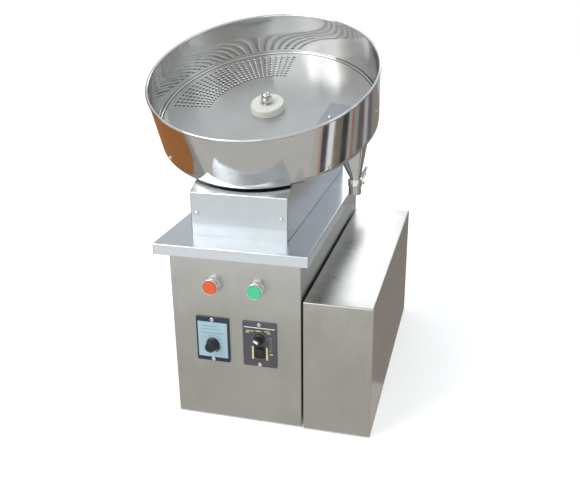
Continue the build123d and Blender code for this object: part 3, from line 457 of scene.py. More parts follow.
def sheetSteel(name, colour, roughness, grain, wave=0.0006, waveScale=7.0):
    # satin sheet: a fine grain along one direction, cloudy handling marks, and a slow wave in
    # the sheet that bends its reflections
    made, tree, shader = material(name, Metallic=1.0, Anisotropic=0.3)
    spread, stain, tint = 0.08, 0.9, (0.5, 0.5, 0.5)
    lines = noise(tree, grain, 5.0, rough=0.7)
    clouds = noise(tree, (14, 14, 14), 5.0)
    streaks = noise(tree, tuple(g ** 0.5 * 4 for g in grain), 3.0)
    base = blended(tree, between(tree, clouds, 0, 1), darker(colour, stain), colour)
    bands = blended(tree, between(tree, streaks, 0, 1), darker(tint, 0.9), tint)
    rough = calculated(tree, "ADD",
                       between(tree, lines, roughness - spread / 2, roughness + spread / 2),
                       between(tree, clouds, -spread / 2, spread / 2))
    slow = bumped(tree, noise(tree, (waveScale,) * 3, 1.0, rough=0.4), wave)
    wired(tree, shader, blended(tree, 0.35, base, bands, "OVERLAY"), rough,
          bumped(tree, lines, 0.00001, 0.6, slow))
    return made


def polishedSteel(name, colour, roughness, scratches=(30, 900, 1), source="UV", wave=0.00006,
                  waveScale=(9, 14, 14)):
    # polished sheet: hair scratches along the sheet, thin smears that dull it a little, and
    # small unevenness from rolling
    made, tree, shader = material(name, Metallic=1.0)
    lines = noise(tree, scratches, 6.0, source, 0.75)
    smears = noise(tree, (22, 22, 22), 5.0)
    rough = calculated(tree, "ADD", between(tree, lines, roughness * 0.7, roughness * 1.3),
                       between(tree, smears, 0.0, roughness * 0.7, 0.5, 0.8))
    slow = bumped(tree, noise(tree, waveScale, 2.0, source), wave, 0.7)
    wired(tree, shader, blended(tree, between(tree, smears, 0, 1), darker(colour, 0.93), colour),
          rough, bumped(tree, lines, 0.000004, 0.5, slow))
    return made


def turnedSteel(name, colour, roughness, place, ringScale=1500.0):
    # a face turned or brushed in circles about a place's z axis: the grain depends on the
    # distance from the axis, and wipe marks run with it
    made, tree, shader = material(name, Metallic=1.0)
    inverse = Matrix(np.linalg.inv(place).tolist())
    origin = addNode(tree, "ShaderNodeTexCoord").outputs["Object"]
    local = addNode(tree, "ShaderNodeMapping", [(origin, "Vector")],
                    Location=inverse.to_translation(), Rotation=inverse.to_euler())
    x, y, _ = addNode(tree, "ShaderNodeSeparateXYZ", [(local.outputs[0], "Vector")]).outputs
    square = addNode(tree, "ShaderNodeCombineXYZ", [(x, "X"), (y, "Y")]).outputs[0]
    distance = addNode(tree, "ShaderNodeVectorMath", [(square, "Vector")],
                       operation="LENGTH").outputs["Value"]
    far = calculated(tree, "MULTIPLY", distance, ringScale)
    near = calculated(tree, "MULTIPLY", calculated(tree, "ARCTAN2", y, x), 1.3)
    polar = addNode(tree, "ShaderNodeCombineXYZ", [(far, "X"), (near, "Y")]).outputs[0]
    lines = noise(tree, None, 4.0, rough=0.7, vector=polar)
    clouds = noise(tree, (10, 10, 10), 6.0, rough=0.6)
    nicks = noise(tree, (420, 60, 60), 3.0, rough=0.8)
    rough = calculated(tree, "ADD", between(tree, lines, roughness - 0.05, roughness + 0.05),
                       between(tree, clouds, -0.05, 0.1))
    slow = bumped(tree, noise(tree, (9, 9, 9), 2.0), 0.0005, 0.6)
    fine = bumped(tree, lines, 0.000006, 0.5, slow)
    wired(tree, shader, blended(tree, between(tree, clouds, 0, 1), darker(colour, 0.86), colour),
          rough, bumped(tree, nicks, 0.000008, 0.35, fine))
    return made


def moulded(name, colour, roughness=0.42, grain=2600.0, depth=0.00002, coat=0.0, lift=1.25):
    # moulded plastic or rubber: a fine even grain, and a faint change of tone and gloss
    made, tree, shader = material(name, **{"Coat Weight": coat, "Coat Roughness": 0.12})
    tone = noise(tree, (90, 90, 90), 4.0)
    wired(tree, shader, blended(tree, between(tree, tone, 0, 1), colour, darker(colour, lift)),
          between(tree, tone, roughness - 0.06, roughness + 0.08),
          bumped(tree, noise(tree, (grain,) * 3, 2.0), depth, 0.5))
    return made


def painted(name, colour, roughness=0.45):
    # sprayed paint: orange peel, and dust that lightens it in patches
    made, tree, shader = material(name, **{"Coat Weight": 0.25, "Coat Roughness": 0.2})
    dust = noise(tree, (35, 35, 35), 6.0)
    wired(tree, shader,
          blended(tree, between(tree, dust, 0, 1, 0.4, 0.75), colour, darker(colour, 1.5)),
          between(tree, dust, roughness - 0.08, roughness + 0.15),
          bumped(tree, noise(tree, (520, 520, 520), 2.0), 0.00006, 0.5))
    return made


looks = {
    "cabinetColour": (0.575, 0.575, 0.55), "cabinetRoughness": 0.36,
    "boxColour": (0.575, 0.57, 0.54), "boxRoughness": 0.30,
    "plateColour": (0.60, 0.625, 0.65), "plateRoughness": 0.22,
    "bowlColour": (0.67, 0.68, 0.68), "bowlRoughness": 0.09,
    "discColour": (0.57, 0.57, 0.56), "discRoughness": 0.35,
}
verticalGrain, depthGrain, acrossGrain = (1400, 1400, 14), (1400, 14, 1400), (14, 1400, 1400)

finishes = {
    "satin_steel": sheetSteel("satinSteel", looks["cabinetColour"], looks["cabinetRoughness"],
                              verticalGrain),
    "plate_steel": sheetSteel("plateSteel", looks["plateColour"], looks["plateRoughness"],
                              depthGrain, wave=0.0008, waveScale=6.0),
    "polished_steel": polishedSteel("polishedSteel", looks["bowlColour"], looks["bowlRoughness"]),
    "disc_steel": turnedSteel("discSteel", looks["discColour"], looks["discRoughness"], bowl),
    "bright_steel": polishedSteel("brightSteel", (0.66, 0.66, 0.65), 0.12, (900, 900, 900),
                                  source="Object", wave=0.00002, waveScale=(300, 300, 300)),
    "shaft_steel": turnedSteel("shaftSteel", (0.42, 0.42, 0.43), 0.28, bowl, 2500.0),
    "gearbox_alloy": sheetSteel("castAlloy", (0.48, 0.49, 0.50), 0.5, (260, 260, 260), wave=0.0001,
                                waveScale=90.0),
    "frame_paint": painted("framePaint", (0.12, 0.13, 0.145)),
    "motor_paint": painted("motorPaint", (0.03, 0.035, 0.05), 0.4),
    "nylon": moulded("nylon", (0.68, 0.685, 0.63), 0.38, 900.0, 0.00003, lift=1.08),
    "rubber": moulded("rubber", (0.018, 0.018, 0.019), 0.72, 1400.0, 0.00006),
    "black_plastic": moulded("blackPlastic", (0.012, 0.012, 0.014), 0.3),
    "grey_plastic": moulded("greyPlastic", (0.20, 0.205, 0.21), 0.45),
    "red_plastic": moulded("redPlastic", (0.64, 0.085, 0.008), 0.36, coat=0.1, lift=1.06),
    "green_plastic": moulded("greenPlastic", (0.045, 0.50, 0.235), 0.36, coat=0.1, lift=1.06),
    "light_face": moulded("lightFace", (0.32, 0.47, 0.55), 0.35, lift=1.05),
    "dark_face": moulded("darkFace", (0.060, 0.058, 0.075), 0.38, lift=1.15),
    "brush_bristle": moulded("bristle", (0.04, 0.04, 0.045), 0.5),
}
boxSteel = sheetSteel("boxSteel", looks["boxColour"], looks["boxRoughness"], verticalGrain,
                      wave=0.0009, waveScale=6.0)
navy = moulded("navyFrame", (0.012, 0.018, 0.042), 0.3)
yellowPrint = moulded("yellowPrint", (0.66, 0.55, 0.20), 0.5, lift=1.1)
whitePrint = moulded("whitePrint", (0.72, 0.73, 0.74), 0.45, lift=1.05)
greyPrint = moulded("greyPrint", (0.17, 0.24, 0.28), 0.5)
for part in frame["record"]["subparts"]:
    mesh = nodes[part["node"]].data
    mesh.materials.clear()
    mesh.materials.append(finishes[part["material_slot"]])
print("materials:", len(bpy.data.materials))


# ---- bowl

bowlWall = {"turns": 320, "unevenness": 0.00013, "weld": 0.00012, "weldAngle": 262.0}


def makeBowlWall():
    # the hoop's profile: up the outside, round the rolled bead, down the inside; the radius
    # waves slowly round the hoop and stands up along one welded seam
    high = span("bowl_wall", bowl)[1][2]
    rim = radii("bowl_wall", bowl)[1]
    footInner, footOuter = radii("bowl_wall", bowl, -0.001, 0.0005)
    sheet = footOuter - footInner
    top = localPoints("bowl_wall", bowl)
    bead = high - top[np.argmax(np.hypot(top[:, 0], top[:, 1])), 2]
    lip = math.asin(sheet / 2 / bead)
    curl = arc(rim - bead, high - bead, bead, lip - quarter, 3 * quarter - lip, 22)
    t = np.linspace(0, 1, 16)[:, None]
    edge = sheet * 0.3
    outside = (footOuter, edge) + t * (curl[0] - (footOuter, edge))
    inside = curl[-1] + t * (np.array((footInner, edge)) - curl[-1])
    foot = [(footInner + edge, 0), (footOuter - edge, 0), (footOuter, edge)]
    profile = np.concatenate([outside, curl[1:-1], inside, foot])

    def wave(angle, height):
        share = np.sin(np.clip(height / high, 0, 1) * math.pi)
        swell = np.sin(3 * angle + 0.6) + 0.6 * np.sin(7 * angle + 2.1) + 0.35 * np.sin(13 * angle)
        seam = np.exp(-(((angle - math.radians(bowlWall["weldAngle"])) / 0.006) ** 2))
        return bowlWall["unevenness"] * share * swell / 2 + bowlWall["weld"] * seam * np.sign(share)

    makePiece("bowl_wall_sheet", [turned(profile, bowl, bowlWall["turns"], wave)], "frame",
              "polished_steel", ["bowl_wall"], sharp=50)


def makeGuardRing():
    low, high, inner, outer = turnedSizes("guard_ring", bowl)
    half = (outer - inner) / 2
    crown = arc(inner + half, high - half, half, 0, math.pi, 16)
    profile = np.concatenate([[(inner, low), (outer, low)], crown, [(inner, low)]])
    makePiece("guard_ring_round", [turned(profile, bowl, 256)], "frame", "polished_steel",
              ["guard_ring"], [finishes["bright_steel"]], sharp=50)


disc = {"startAngle": 88.0, "span": 92.0, "rows": 9, "columns": 26, "firstRow": 0.114,
        "pitch": 0.0085, "hole": 0.0027, "countersink": 0.0008, "edge": 0.0005}


def makeDisc():
    # a flat polar grid; in the drilled sector each cell of four by four quads is left out and
    # filled by rings that go from the cell's border to a round hole with a chamfer
    low, high, bore, rim = turnedSizes("counting_disc", bowl)
    step = disc["span"] / (disc["columns"] - 1)
    start = disc["startAngle"] - step / 2
    cells = start + step / 4 * np.arange(disc["columns"] * 4 + 1)
    rest = np.linspace(cells[-1], start + 360, 120)[1:]
    angle = np.radians(np.concatenate([cells, rest]))
    first = disc["firstRow"] - disc["pitch"] / 2
    rows = first + disc["pitch"] / 4 * np.arange(disc["rows"] * 4 + 1)
    edge = disc["edge"]
    radius = np.concatenate([np.linspace(bore, first, 12)[:-1], rows,
                             np.linspace(rows[-1], rim - edge, 4)[1:]])
    inCell = ((radius[:-1] >= first - 1e-9) & (radius[:-1] < rows[-1] - 1e-9))[:, None]
    inSpan = (angle[:-1] < np.radians(cells[-1]) - 1e-9)[None]
    patches = [{"grid": toWorld(around(radius[:, None], angle, height), bowl),
                "keep": ~(inCell & inSpan)} for height in (high, low)]
    border = [(rim - edge, high), (rim, high - edge), (rim, low + edge), (rim - edge, low)]
    for profile in (np.array(border), np.array([(bore, low), (bore, high)])):
        patches.append({"grid": toWorld(around(profile[:, :1], angle, profile[:, 1:]), bowl)})
    side = np.arange(4)
    zero, four = 0 * side, 0 * side + 4
    corner = np.concatenate([np.column_stack(pair) for pair in (
        (side, zero), (four, side), (4 - side, four), (zero, 4 - side))] + [[(0, 0)]])
    sink = disc["countersink"]
    levels = [(None, high), (disc["hole"] + sink, high), (disc["hole"], high - sink),
              (disc["hole"], low + sink), (disc["hole"] + sink, low), (None, low)]
    for row in range(disc["rows"]):
        for column in range(disc["columns"]):
            square = around(rows[4 * row + corner[:, 1]],
                            np.radians(cells[4 * column + corner[:, 0]]), 0)[:, :2]
            middle = around(disc["firstRow"] + row * disc["pitch"],
                            np.radians(cells[4 * column + 2]), 0)[:2]
            away = square - middle
            away /= np.linalg.norm(away, axis=1)[:, None]
            ring = [np.column_stack([square if size is None else middle + size * away,
                                     np.full(len(square), height)]) for size, height in levels]
            patches.append({"grid": toWorld(np.array(ring), bowl)})
    makePiece("counting_disc_drilled", patches, "disc_rotor", "disc_steel", ["counting_disc"],
              sharp=25)


def makeHub():
    low, high, bore, rim = turnedSizes("disc_hub", bowl)
    lean = 0.0012
    profile = rounded([(bore, low), (rim, low), (rim - lean, high), (bore, high), (bore, low)],
                      [0.0008, 0.0034, 0.0003], 8)
    makePiece("disc_hub_turned", [turned(profile, bowl, 128)], "disc_rotor", "nylon", ["disc_hub"])
    low, high, bore, rim = turnedSizes("hub_washer", bowl)
    profile = rounded([(bore, low), (rim, low), (rim, high), (bore, high), (bore, low)], 0.0004, 4)
    makePiece("hub_washer_flat", [turned(profile, bowl)], "disc_rotor", "bright_steel",
              ["hub_washer"])


def makeDomeNut():
    # a hexagon cut by a cone at both ends, and a ball-ended cap on it
    low, high, _, corner = turnedSizes("hub_nut", bowl)
    points = localPoints("hub_nut", bowl)
    hexTop = points[np.hypot(points[:, 0], points[:, 1]) > 0.0099][:, 2].max()
    ball = radii("hub_nut", bowl, hexTop + 0.0002, 9)[1]
    cap = arc(0, high - ball, ball, 0, quarter, 14)
    profile = np.concatenate([[(0, hexTop - 0.001), (ball, hexTop - 0.001)], cap])
    makePiece("dome_nut", [hexSolid(bowl, corner * math.sqrt(3), low, hexTop, 0.0012),
                           turned(profile, bowl, 72)],
              "disc_rotor", "bright_steel", ["hub_nut"], sharp=30)


screws = {"radius": 0.0038, "height": 0.0024, "shankRadius": 0.00195, "shankLength": 0.004}


def screwHead(place, turn=0.0, steps=48):
    # a domed head with a cross recess: the dome's height less a smooth cross near its middle,
    # then the rim, the underside and the shank
    radius, height = screws["radius"], screws["height"]
    thick, length = screws["shankRadius"], screws["shankLength"]
    angle = np.linspace(0, 2 * math.pi, steps + 1)[None]
    share = np.linspace(0, 1, 16)[:, None]
    ring = radius * share
    dome = height * (0.42 + 0.58 * np.sqrt(np.maximum(1 - (0.97 * share) ** 2, 0)))
    across = np.abs(ring * np.cos(angle + turn)), np.abs(ring * np.sin(angle + turn))
    narrow = np.minimum(*across) / (0.14 * radius)
    reach = np.maximum(*across) / (0.55 * radius)
    recess = 1 / (1 + narrow ** 6) * 1 / (1 + reach ** 10)
    rows = [around(ring, angle, dome - 0.38 * height * recess)]
    for r, z in ((radius, 0.12 * height), (radius * 0.97, 0.0), (thick, 0.0), (thick, -length),
                 (0, -length)):
        rows.append(around(r, angle, z))
    return {"grid": toWorld(np.concatenate(rows), place)}


def screwsOf(node, direction, name, spin=0.7):
    # one head for each solid of a node; its seat is the node's face that the head stands on
    patches = []
    for number, middle in enumerate(islands(node)):
        outward = unit(direction(middle) if callable(direction) else direction)
        side = np.cross(outward, (0.13, 0.21, 0.97))
        place = placeAt(middle, side, outward)
        near = localPoints(node, place)
        near = near[np.hypot(near[:, 0], near[:, 1]) < 0.006]
        seat = near[:, 2].max() - screws["height"]
        patches.append(screwHead(moved(place, z=seat), number * spin))
    makePiece(name, patches, "frame", "bright_steel", [node], sharp=55)


def fromAxis(point):
    # straight away from the bowl's axis at a point
    local = (point - bowl[:3, 3]) @ bowl[:3, :3]
    return bowl[:3, :3] @ np.array([local[0], local[1], 0])


makeBowlWall()
makeGuardRing()
makeDisc()
makeHub()
makeDomeNut()
screwsOf("wall_screws", fromAxis, "wall_screw_heads")
print("bowl, disc and hub made")


# ---- sheet work

sheetWork = {"bend": 0.0024, "sheet": 0.0015, "corner": 0.0022, "edge": 0.0003,
             "riserBend": 0.0022, "riserTopBend": 0.004, "backLip": 0.016,
             "unitOpening": (0.049, 0.067), "holePlay": 0.0002}


def boxOutline(low, high):
    return rectangle(*((low[:2] + high[:2]) / 2), *(high[:2] - low[:2]))


def makeTray(name, node, slotName, materials=None, cutters=()):
    low, high = (np.array(c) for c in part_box(node))
    stations = traySheet(low[2], high[2], sheetWork["sheet"], sheetWork["bend"])
    patch = wrapped(boxOutline(low, high), stations, ground, sheetWork["corner"], 7)
    makePiece(name, [patch], "frame", slotName, [node], materials, cutters, sharp=40,
              weighted=True)


def makeCabinet():
    # a tube with rounded upright corners, less the openings for the controls and the back
    low, high = cabinetLow, cabinetHigh
    sheet, edge = sheetWork["sheet"], sheetWork["edge"]
    t = np.linspace(0, quarter, 4)
    stations = ([(edge - edge * math.cos(a), low[2] + edge - edge * math.sin(a)) for a in t[::-1]]
                + [(0, high[2]), (sheet, high[2])]
                + [(sheet - edge + edge * math.cos(a), low[2] + edge - edge * math.sin(a))
                   for a in t])
    patch = wrapped(boxOutline(low, high), stations, ground, sheetWork["corner"], 7, False, False)
    patch["grid"] = np.concatenate([patch["grid"], patch["grid"][:1]])
    reach = 3 * sheet
    backWidth = high[0] - low[0] - 2 * sheetWork["backLip"]
    cutters = [[slab(ground, cabinetX, high[1], backWidth, reach, low[2] - 0.01, high[2] + 0.01)]]
    for node in ("stop_button_bezel", "start_button_bezel"):
        place = moved(panel, *middleOf(node, panel))
        hole = radii(node, place, -9, -0.002)[1] + sheetWork["holePlay"]
        cutters.append([turned([(0, -reach), (hole, -reach), (hole, sheet), (0, sheet)],
                               place, 48)])
    for centre in islands("control_units"):
        spot = (centre - panel[:3, 3]) @ panel[:3, :3]
        cutters.append([slab(panel, *spot[:2], *sheetWork["unitOpening"], -reach, sheet)])
    makePiece("cabinet_wrap", [patch], "frame", "satin_steel", ["cabinet_shell"], None, cutters,
              sharp=40, weighted=True)


def makeRiser():
    # the side outline carried across, with its edges rounded at both ends, hollowed out from
    # below, and open where the bowl's shaft comes up
    points = localPoints("riser_cover", ground)
    low, high = points.min(0), points.max(0)
    frontTop = points[points[:, 1] < low[1] + 1e-5][:, 2].max()
    flatFront = points[points[:, 2] > high[2] - 1e-5][:, 1].min()
    sheet, bend = sheetWork["sheet"], sheetWork["riserBend"]
    across = placeAt((0, 0, 0), (0, 1, 0), (1, 0, 0))
    outline = np.array([(low[1], low[2]), (high[1], low[2]), (high[1], high[2]),
                        (flatFront, high[2]), (low[1], frontTop)])
    ends = [(bend - bend * math.sin(a), low[0] + bend - bend * math.cos(a))
            for a in np.linspace(0, quarter, 7)]
    ends += [(inset, low[0] + high[0] - x) for inset, x in ends[::-1]]
    outer = wrapped(outline, ends, across,
                    [0.0001, 0.0001, bend, sheetWork["riserTopBend"], bend], 7)
    inner = rings(outline, 0, [sheet])[0].reshape(5, -1, 2)[:, 0]
    inner[:2, 1] = low[2] - 0.01
    hollow = wrapped(inner, [(0, low[0] + sheet), (0, high[0] - sheet)], across, 0, 2)
    hole = radii("riser_cover", bowl)[0]
    bore = turned([(0, -0.03), (hole, -0.03), (hole, 0.03), (0, 0.03)], bowl, 64)
    makePiece("riser_fold", [outer], "frame", "plate_steel", ["riser_cover"], None,
              [[hollow], [bore]], sharp=40, weighted=True)


feet = {"radius": 0.015, "taper": 0.0012, "edge": 0.0008}


def makeFeet(name, node):
    # a rubber pad with a waist and a rounded foot under each corner
    patches = []
    for middle in islands(node):
        low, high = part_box(node)[0][2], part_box(node)[1][2]
        place = placeAt((middle[0], middle[1], 0), (1, 0, 0), (0, 0, 1))
        radius = feet["radius"]
        profile = rounded([(0, low), (radius, low), (radius - feet["taper"], high), (0, high)],
                          feet["edge"], 4)
        patches.append(turned(profile, place, 48))
    makePiece(name, patches, "frame", "rubber", [node])


plateHole = {"behindMiddle": 0.036, "width": 0.09, "length": 0.15, "corner": 0.01}
plateY = middleOf("top_plate", ground)[1]
makeTray("top_plate_fold", "top_plate", "plate_steel", None,
         [[slab(ground, cabinetX, plateY + plateHole["behindMiddle"], plateHole["width"],
                plateHole["length"], 0.3, 0.4, plateHole["corner"])]])
makeTray("side_box_fold", "side_box", "satin_steel", [boxSteel])
makeCabinet()
makeRiser()
makeFeet("cabinet_foot_pads", "cabinet_feet")
makeFeet("side_box_foot_pads", "side_box_feet")
screwsOf("riser_screws", lambda point: (0, -1 if point[1] < 0 else 1, 0), "riser_screw_heads")
screwsOf("back_screws", (0, 1, 0), "back_screw_heads")
print("sheet work made")


# ---- discharge: funnel, nozzle, shield and brush

funnel = {"steps": 96, "rows": 26, "sheet": 0.0012, "rim": 0.002, "neckHeight": 0.031}
nozzle = {"collarLength": 0.029, "lip": 0.0005, "step": 0.0004, "lugThick": 0.0011,
          "screwHead": 0.0029, "screwRadius": 0.002, "knurls": 24}


def makeFunnel():
    # straight lines from the window's ellipse to the spout's circle, then the upright spout;
    # the same surface one sheet further in, and a flat rim
    points = localPoints("discharge_funnel", bowl)
    topLocal = points[points[:, 2] > points[:, 2].max() - 1e-5]
    low, high = topLocal.min(0), topLocal.max(0)
    centre, rimHeight = (low + high)[:2] / 2, high[2]
    rimX, rimY = (high - low)[:2] / 2
    world = nodePoints("discharge_funnel")
    bottom = world[:, 2].min()
    foot = world[world[:, 2] < bottom + 1e-5]
    spot = (foot.min(0) + foot.max(0))[:2] / 2
    spout = (foot.max(0) - foot.min(0))[0] / 2
    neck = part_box("outlet_nozzle")[0][2] + funnel["neckHeight"]
    sheet, rim = funnel["sheet"], funnel["rim"]
    angle = np.linspace(0, 2 * math.pi, funnel["steps"] + 1)
    t = np.linspace(0, 1, funnel["rows"])[:, None, None]
    surfaces = []
    for inset in (0.0, sheet):
        top = toWorld(around(rimX - rim + sheet - inset, angle, rimHeight, centre,
                             rimY - rim + sheet - inset), bowl)
        ring = around(spout - inset, angle, neck, spot)
        end = ring * (1, 1, 0) + (0, 0, bottom)
        surfaces.append(np.concatenate([top[None] * (1 - t) + ring[None] * t, end[None]]))
    outer, inner = surfaces
    flat = toWorld(around(rimX, angle, rimHeight, centre, rimY), bowl)
    under = flat - bowl[:3, 2] * sheet
    rows = np.concatenate([inner[::-1], flat[None], under[None], outer, inner[-1:]])
    makePiece("funnel_chute", [{"grid": rows}], "frame", "polished_steel", ["discharge_funnel"],
              [funnelSteel], sharp=30)
    return spot


def makeNozzle(x, y):
    # a tube with rolled lips and a thicker collar, and a flat lug that leans outwards from it
    place = placeAt((x, y, 0), (1, 0, 0), (0, 0, 1))
    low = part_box("outlet_nozzle")[0][2]
    top = low + nozzle["collarLength"]
    inner, outer = radii("outlet_nozzle", place, low - 1e-5, low + 1e-5)
    points = localPoints("outlet_nozzle", place)
    fromMiddle = np.hypot(points[:, 0], points[:, 1])
    step = points[(fromMiddle < outer + 0.0015) & (fromMiddle > outer + 0.0008)][:, 2].min()
    collar = min(radii("outlet_nozzle", place, top - 1e-5, top + 1e-5)[1], outer + 0.0012)
    lip = nozzle["lip"]
    profile = rounded([(inner, low + 0.004), (inner, low), (outer, low), (outer, step),
                       (collar, step), (collar, top), (inner, top), (inner, low + 0.004)],
                      [lip, lip, nozzle["step"], lip, lip, lip], 5)
    away = points[points[:, 2] > top + 0.002]
    tip = away[away[:, 2] > away[:, 2].max() - 1e-5]
    half = (away[:, 1].max() - away[:, 1].min()) / 2
    foot = np.array([collar - 0.0006, 0, top - 0.002])
    end = np.array([tip[:, 0].mean(), 0, tip[:, 2].mean()])
    length = np.linalg.norm(end - foot)
    lug = placeAt(toWorld(foot, place), (0, 1, 0), np.cross((0, 1, 0), end - foot))
    outline = [(-half, 0), (half, 0), (half, length), (-half, length)]
    thick = nozzle["lugThick"] / 2
    patches = [turned(profile, place, 72),
               wrapped(outline, blockStations(-thick, thick, 0.0003), lug,
                       [0.0005, 0.0005, 0.0025, 0.0025], 6)]
    makePiece("nozzle_tube", patches, "frame", "polished_steel", ["outlet_nozzle"], [funnelSteel],
              sharp=40)
    side = placeAt((x, y, (step + top) / 2), (0, 1, 0), (1, 0, 0))
    side = moved(side, *middleOf("nozzle_screw", side))
    start, tip, _, knob = turnedSizes("nozzle_screw", side)
    under, shank = tip - nozzle["screwHead"], nozzle["screwRadius"]
    heights = np.array([start, start, under, under, under + 0.0004, tip - 0.0005, tip, tip])
    size = np.array([0, shank, shank, knob - 0.0004, knob, knob, knob - 0.0005, 0])[:, None]
    angle = np.linspace(0, 2 * math.pi, 97)[None]
    ridge = 0.5 + 0.5 * np.cos(nozzle["knurls"] * angle)
    knurl = 1 - 0.05 * ridge * (size > 0.0023)
    grid = around(size * knurl, angle, heights[:, None])
    makePiece("nozzle_thumb_screw", [{"grid": toWorld(grid, side)}], "frame", "bright_steel",
              ["nozzle_screw"])


shield = {"sheet": 0.0012, "bend": 0.0025, "tabRise": 0.001, "tabRun": 0.004}
brush = {"tufts": 26, "rows": 3, "tuftRadius": (0.0007, 0.0009), "lean": 0.0004}


def makeShield():
    # one strip bent up at the wall, with rounded front corners
    points = localPoints("discharge_shield", bowl)
    middle = points[points[:, 2] < points[:, 2].min() + 1e-5].mean(0)
    place = moved(bowl, turn=math.degrees(math.atan2(middle[1], middle[0])))
    points = localPoints("discharge_shield", place)
    low, high = points.min(0), points.max(0)
    sheet, bend = shield["sheet"], shield["bend"]
    base, end = low[2], high[0]
    under = rounded([(low[0], base), (end, base), (end, high[2])], bend, 8)
    over = rounded([(low[0], base + sheet), (end - sheet, base + sheet), (end - sheet, high[2])],
                   bend - sheet, 8)
    tabPoints = points[points[:, 2] > high[2] - 1e-5]
    tab = (tabPoints[:, 1].max() - tabPoints[:, 1].min()) / 2
    rise = under[:, 1] - base - shield["tabRise"]
    share = np.clip(1 - rise / shield["tabRun"], 0, 1) ** 2
    half = np.where(rise > 0, tab + (high[1] - tab) * share, high[1])
    lower, upper = (np.stack([np.stack([line[:, 0], side * half, line[:, 1]], -1)
                              for side in np.linspace(-1, 1, 9)], 1) for line in (under, over))
    loop = np.concatenate([lower, upper[:, ::-1], lower[:, :1]], 1)
    grid = toWorld(loop, place)
    patch = {"grid": grid, "caps": [grid[0, :-1], grid[-1, :-1]]}
    # the shield gets the darkened steel, painted shade
    makePiece("shield_strip", [patch], "frame", "polished_steel", ["discharge_shield"],
              [shadedShieldSteel], sharp=40)
    return place


def makeBrush(place):
    # a holder under the shield with tufts of tapered bristles that reach down to the disc
    low, high = span("tablet_brush", place)
    holder = slab(place, *((low + high)[:2] / 2), *((high - low)[:2]),
                  low[2] + 0.55 * (high[2] - low[2]), high[2], 0.001, 0.0003)
    patches = [dict(holder, material=1)]
    generator = np.random.default_rng(7)
    angle = np.linspace(0, 2 * math.pi, 7)
    levels = np.array([high[2] - 0.0012, low[2]])[:, None]
    radius = np.array(brush["tuftRadius"])[:, None]
    for x in np.linspace(low[0] + 0.002, high[0] - 0.002, brush["tufts"]):
        for y in np.linspace(low[1] + 0.0015, high[1] - 0.0015, brush["rows"]):
            lean = np.stack([np.zeros(2), generator.uniform(-brush["lean"], brush["lean"], 2)])
            ring = toWorld(around(radius, angle, levels, (x + lean[:, :1], y + lean[:, 1:])), place)
            patches.append({"grid": ring, "caps": [ring[0, :-1], ring[1, :-1]]})
    makePiece("tablet_brush_tufts", patches, "frame", "brush_bristle", ["tablet_brush"],
              [finishes["brush_bristle"], finishes["black_plastic"]])


funnelSteel = polishedSteel("funnelSteel", (0.70, 0.70, 0.685), 0.09, (700, 700, 60),
                            source="Object", wave=0.0001, waveScale=(40, 40, 25))
# painted shade: the shield's steel is the plate's steel darkened to about seven tenths, standing in for the shade
# the shield lies in
shadedShieldSteel = sheetSteel("shadedShieldSteel", (0.42, 0.45, 0.47), 0.28, acrossGrain)
makeNozzle(*makeFunnel())
makeBrush(makeShield())
print("discharge made")


# ---- controls on the front

buttons = {"stop": "red_plastic", "start": "green_plastic"}
buttonShape = {"waistDepth": 0.0011, "well": 0.0015, "rim": 0.0022, "sunk": 0.0004, "dish": 0.0003}


def makeButton(name, colour):
    bezel, button = name + "_button_bezel", name + "_button_cap"
    place = moved(panel, *middleOf(bezel, panel))
    low, proud, _, _ = turnedSizes(bezel, place)
    radius = radii(bezel, place, 0.0005, 9)[1]
    bore, barrel = radii(bezel, place, -9, -0.002)
    recess = radii(bezel, place, proud - 1e-4, proud + 1e-4)[0]
    waist, well = radius - buttonShape["waistDepth"], buttonShape["well"]
    profile = rounded([(bore, low), (barrel, low), (barrel, 0), (radius, 0), (radius, 0.0035),
                       (waist, 0.0046), (waist, proud - 0.0042), (radius, proud - 0.0028),
                       (radius, proud), (recess, proud), (recess, well), (bore, well),
                       (bore, low)],
                      [0.0003, 0.0003, 0.0005, 0.0006, 0.0006, 0.0004, 0.0004, 0.0010, 0.0005,
                       0.0003, 0.0003], 5)
    makePiece(name + "_bezel_ring", [turned(profile, place)], "frame", "bright_steel", [bezel],
              [bezelSteel], sharp=40)
    low, face, _, _ = turnedSizes(button, place)
    size = radii(button, place, face - 0.003, 9)[1]
    stem = radii(button, place, -9, -0.005)[1]
    points = localPoints(button, place)
    skirt = points[np.hypot(points[:, 0], points[:, 1]) > size - 1e-5][:, 2].min()
    rim, sunk = buttonShape["rim"], buttonShape["sunk"]
    dish = np.stack([np.linspace(size - rim, 0, 14),
                     face - sunk - buttonShape["dish"] * (1 - np.linspace(1, 0, 14) ** 2)], -1)
    profile = rounded([(0, low), (stem, low), (stem, skirt), (size, skirt), (size, face),
                       (size - rim + sunk, face), (size - rim, face - sunk)],
                      [0.0003, 0.0002, 0.0004, 0.0009, 0.0003], 5)
    makePiece(name + "_cap", [turned(np.concatenate([profile, dish]), place)], name + "_cap",
              colour, [button], sharp=40)


marks = {"lift": 0.00012, "tickRadius": 0.0165, "tickLength": 0.0026}
plates = {"corner": 0.0015, "edge": 0.0005, "spindleHole": 0.0035,
          "rockerHole": (0.016, 0.0195)}


def printed(place, x, y, width, length, material, turn=0.0):
    # one printed mark: a thin raised slab, turned about its own middle
    spot = moved(place, x, y, turn=turn)
    return dict(slab(spot, 0, 0, width, length, -0.0001, marks["lift"]), material=material)


def dial(place, x, y, reaches, start, step, width, length, material):
    # ticks round a knob, each at its own radius and with equal angles between them
    patches = []
    for number, reach in enumerate(reaches):
        angle = start - step * number
        spot = around(reach, math.radians(angle), 0, (x, y))
        patches.append(printed(place, spot[0], spot[1], width, length, material, angle))
    return patches


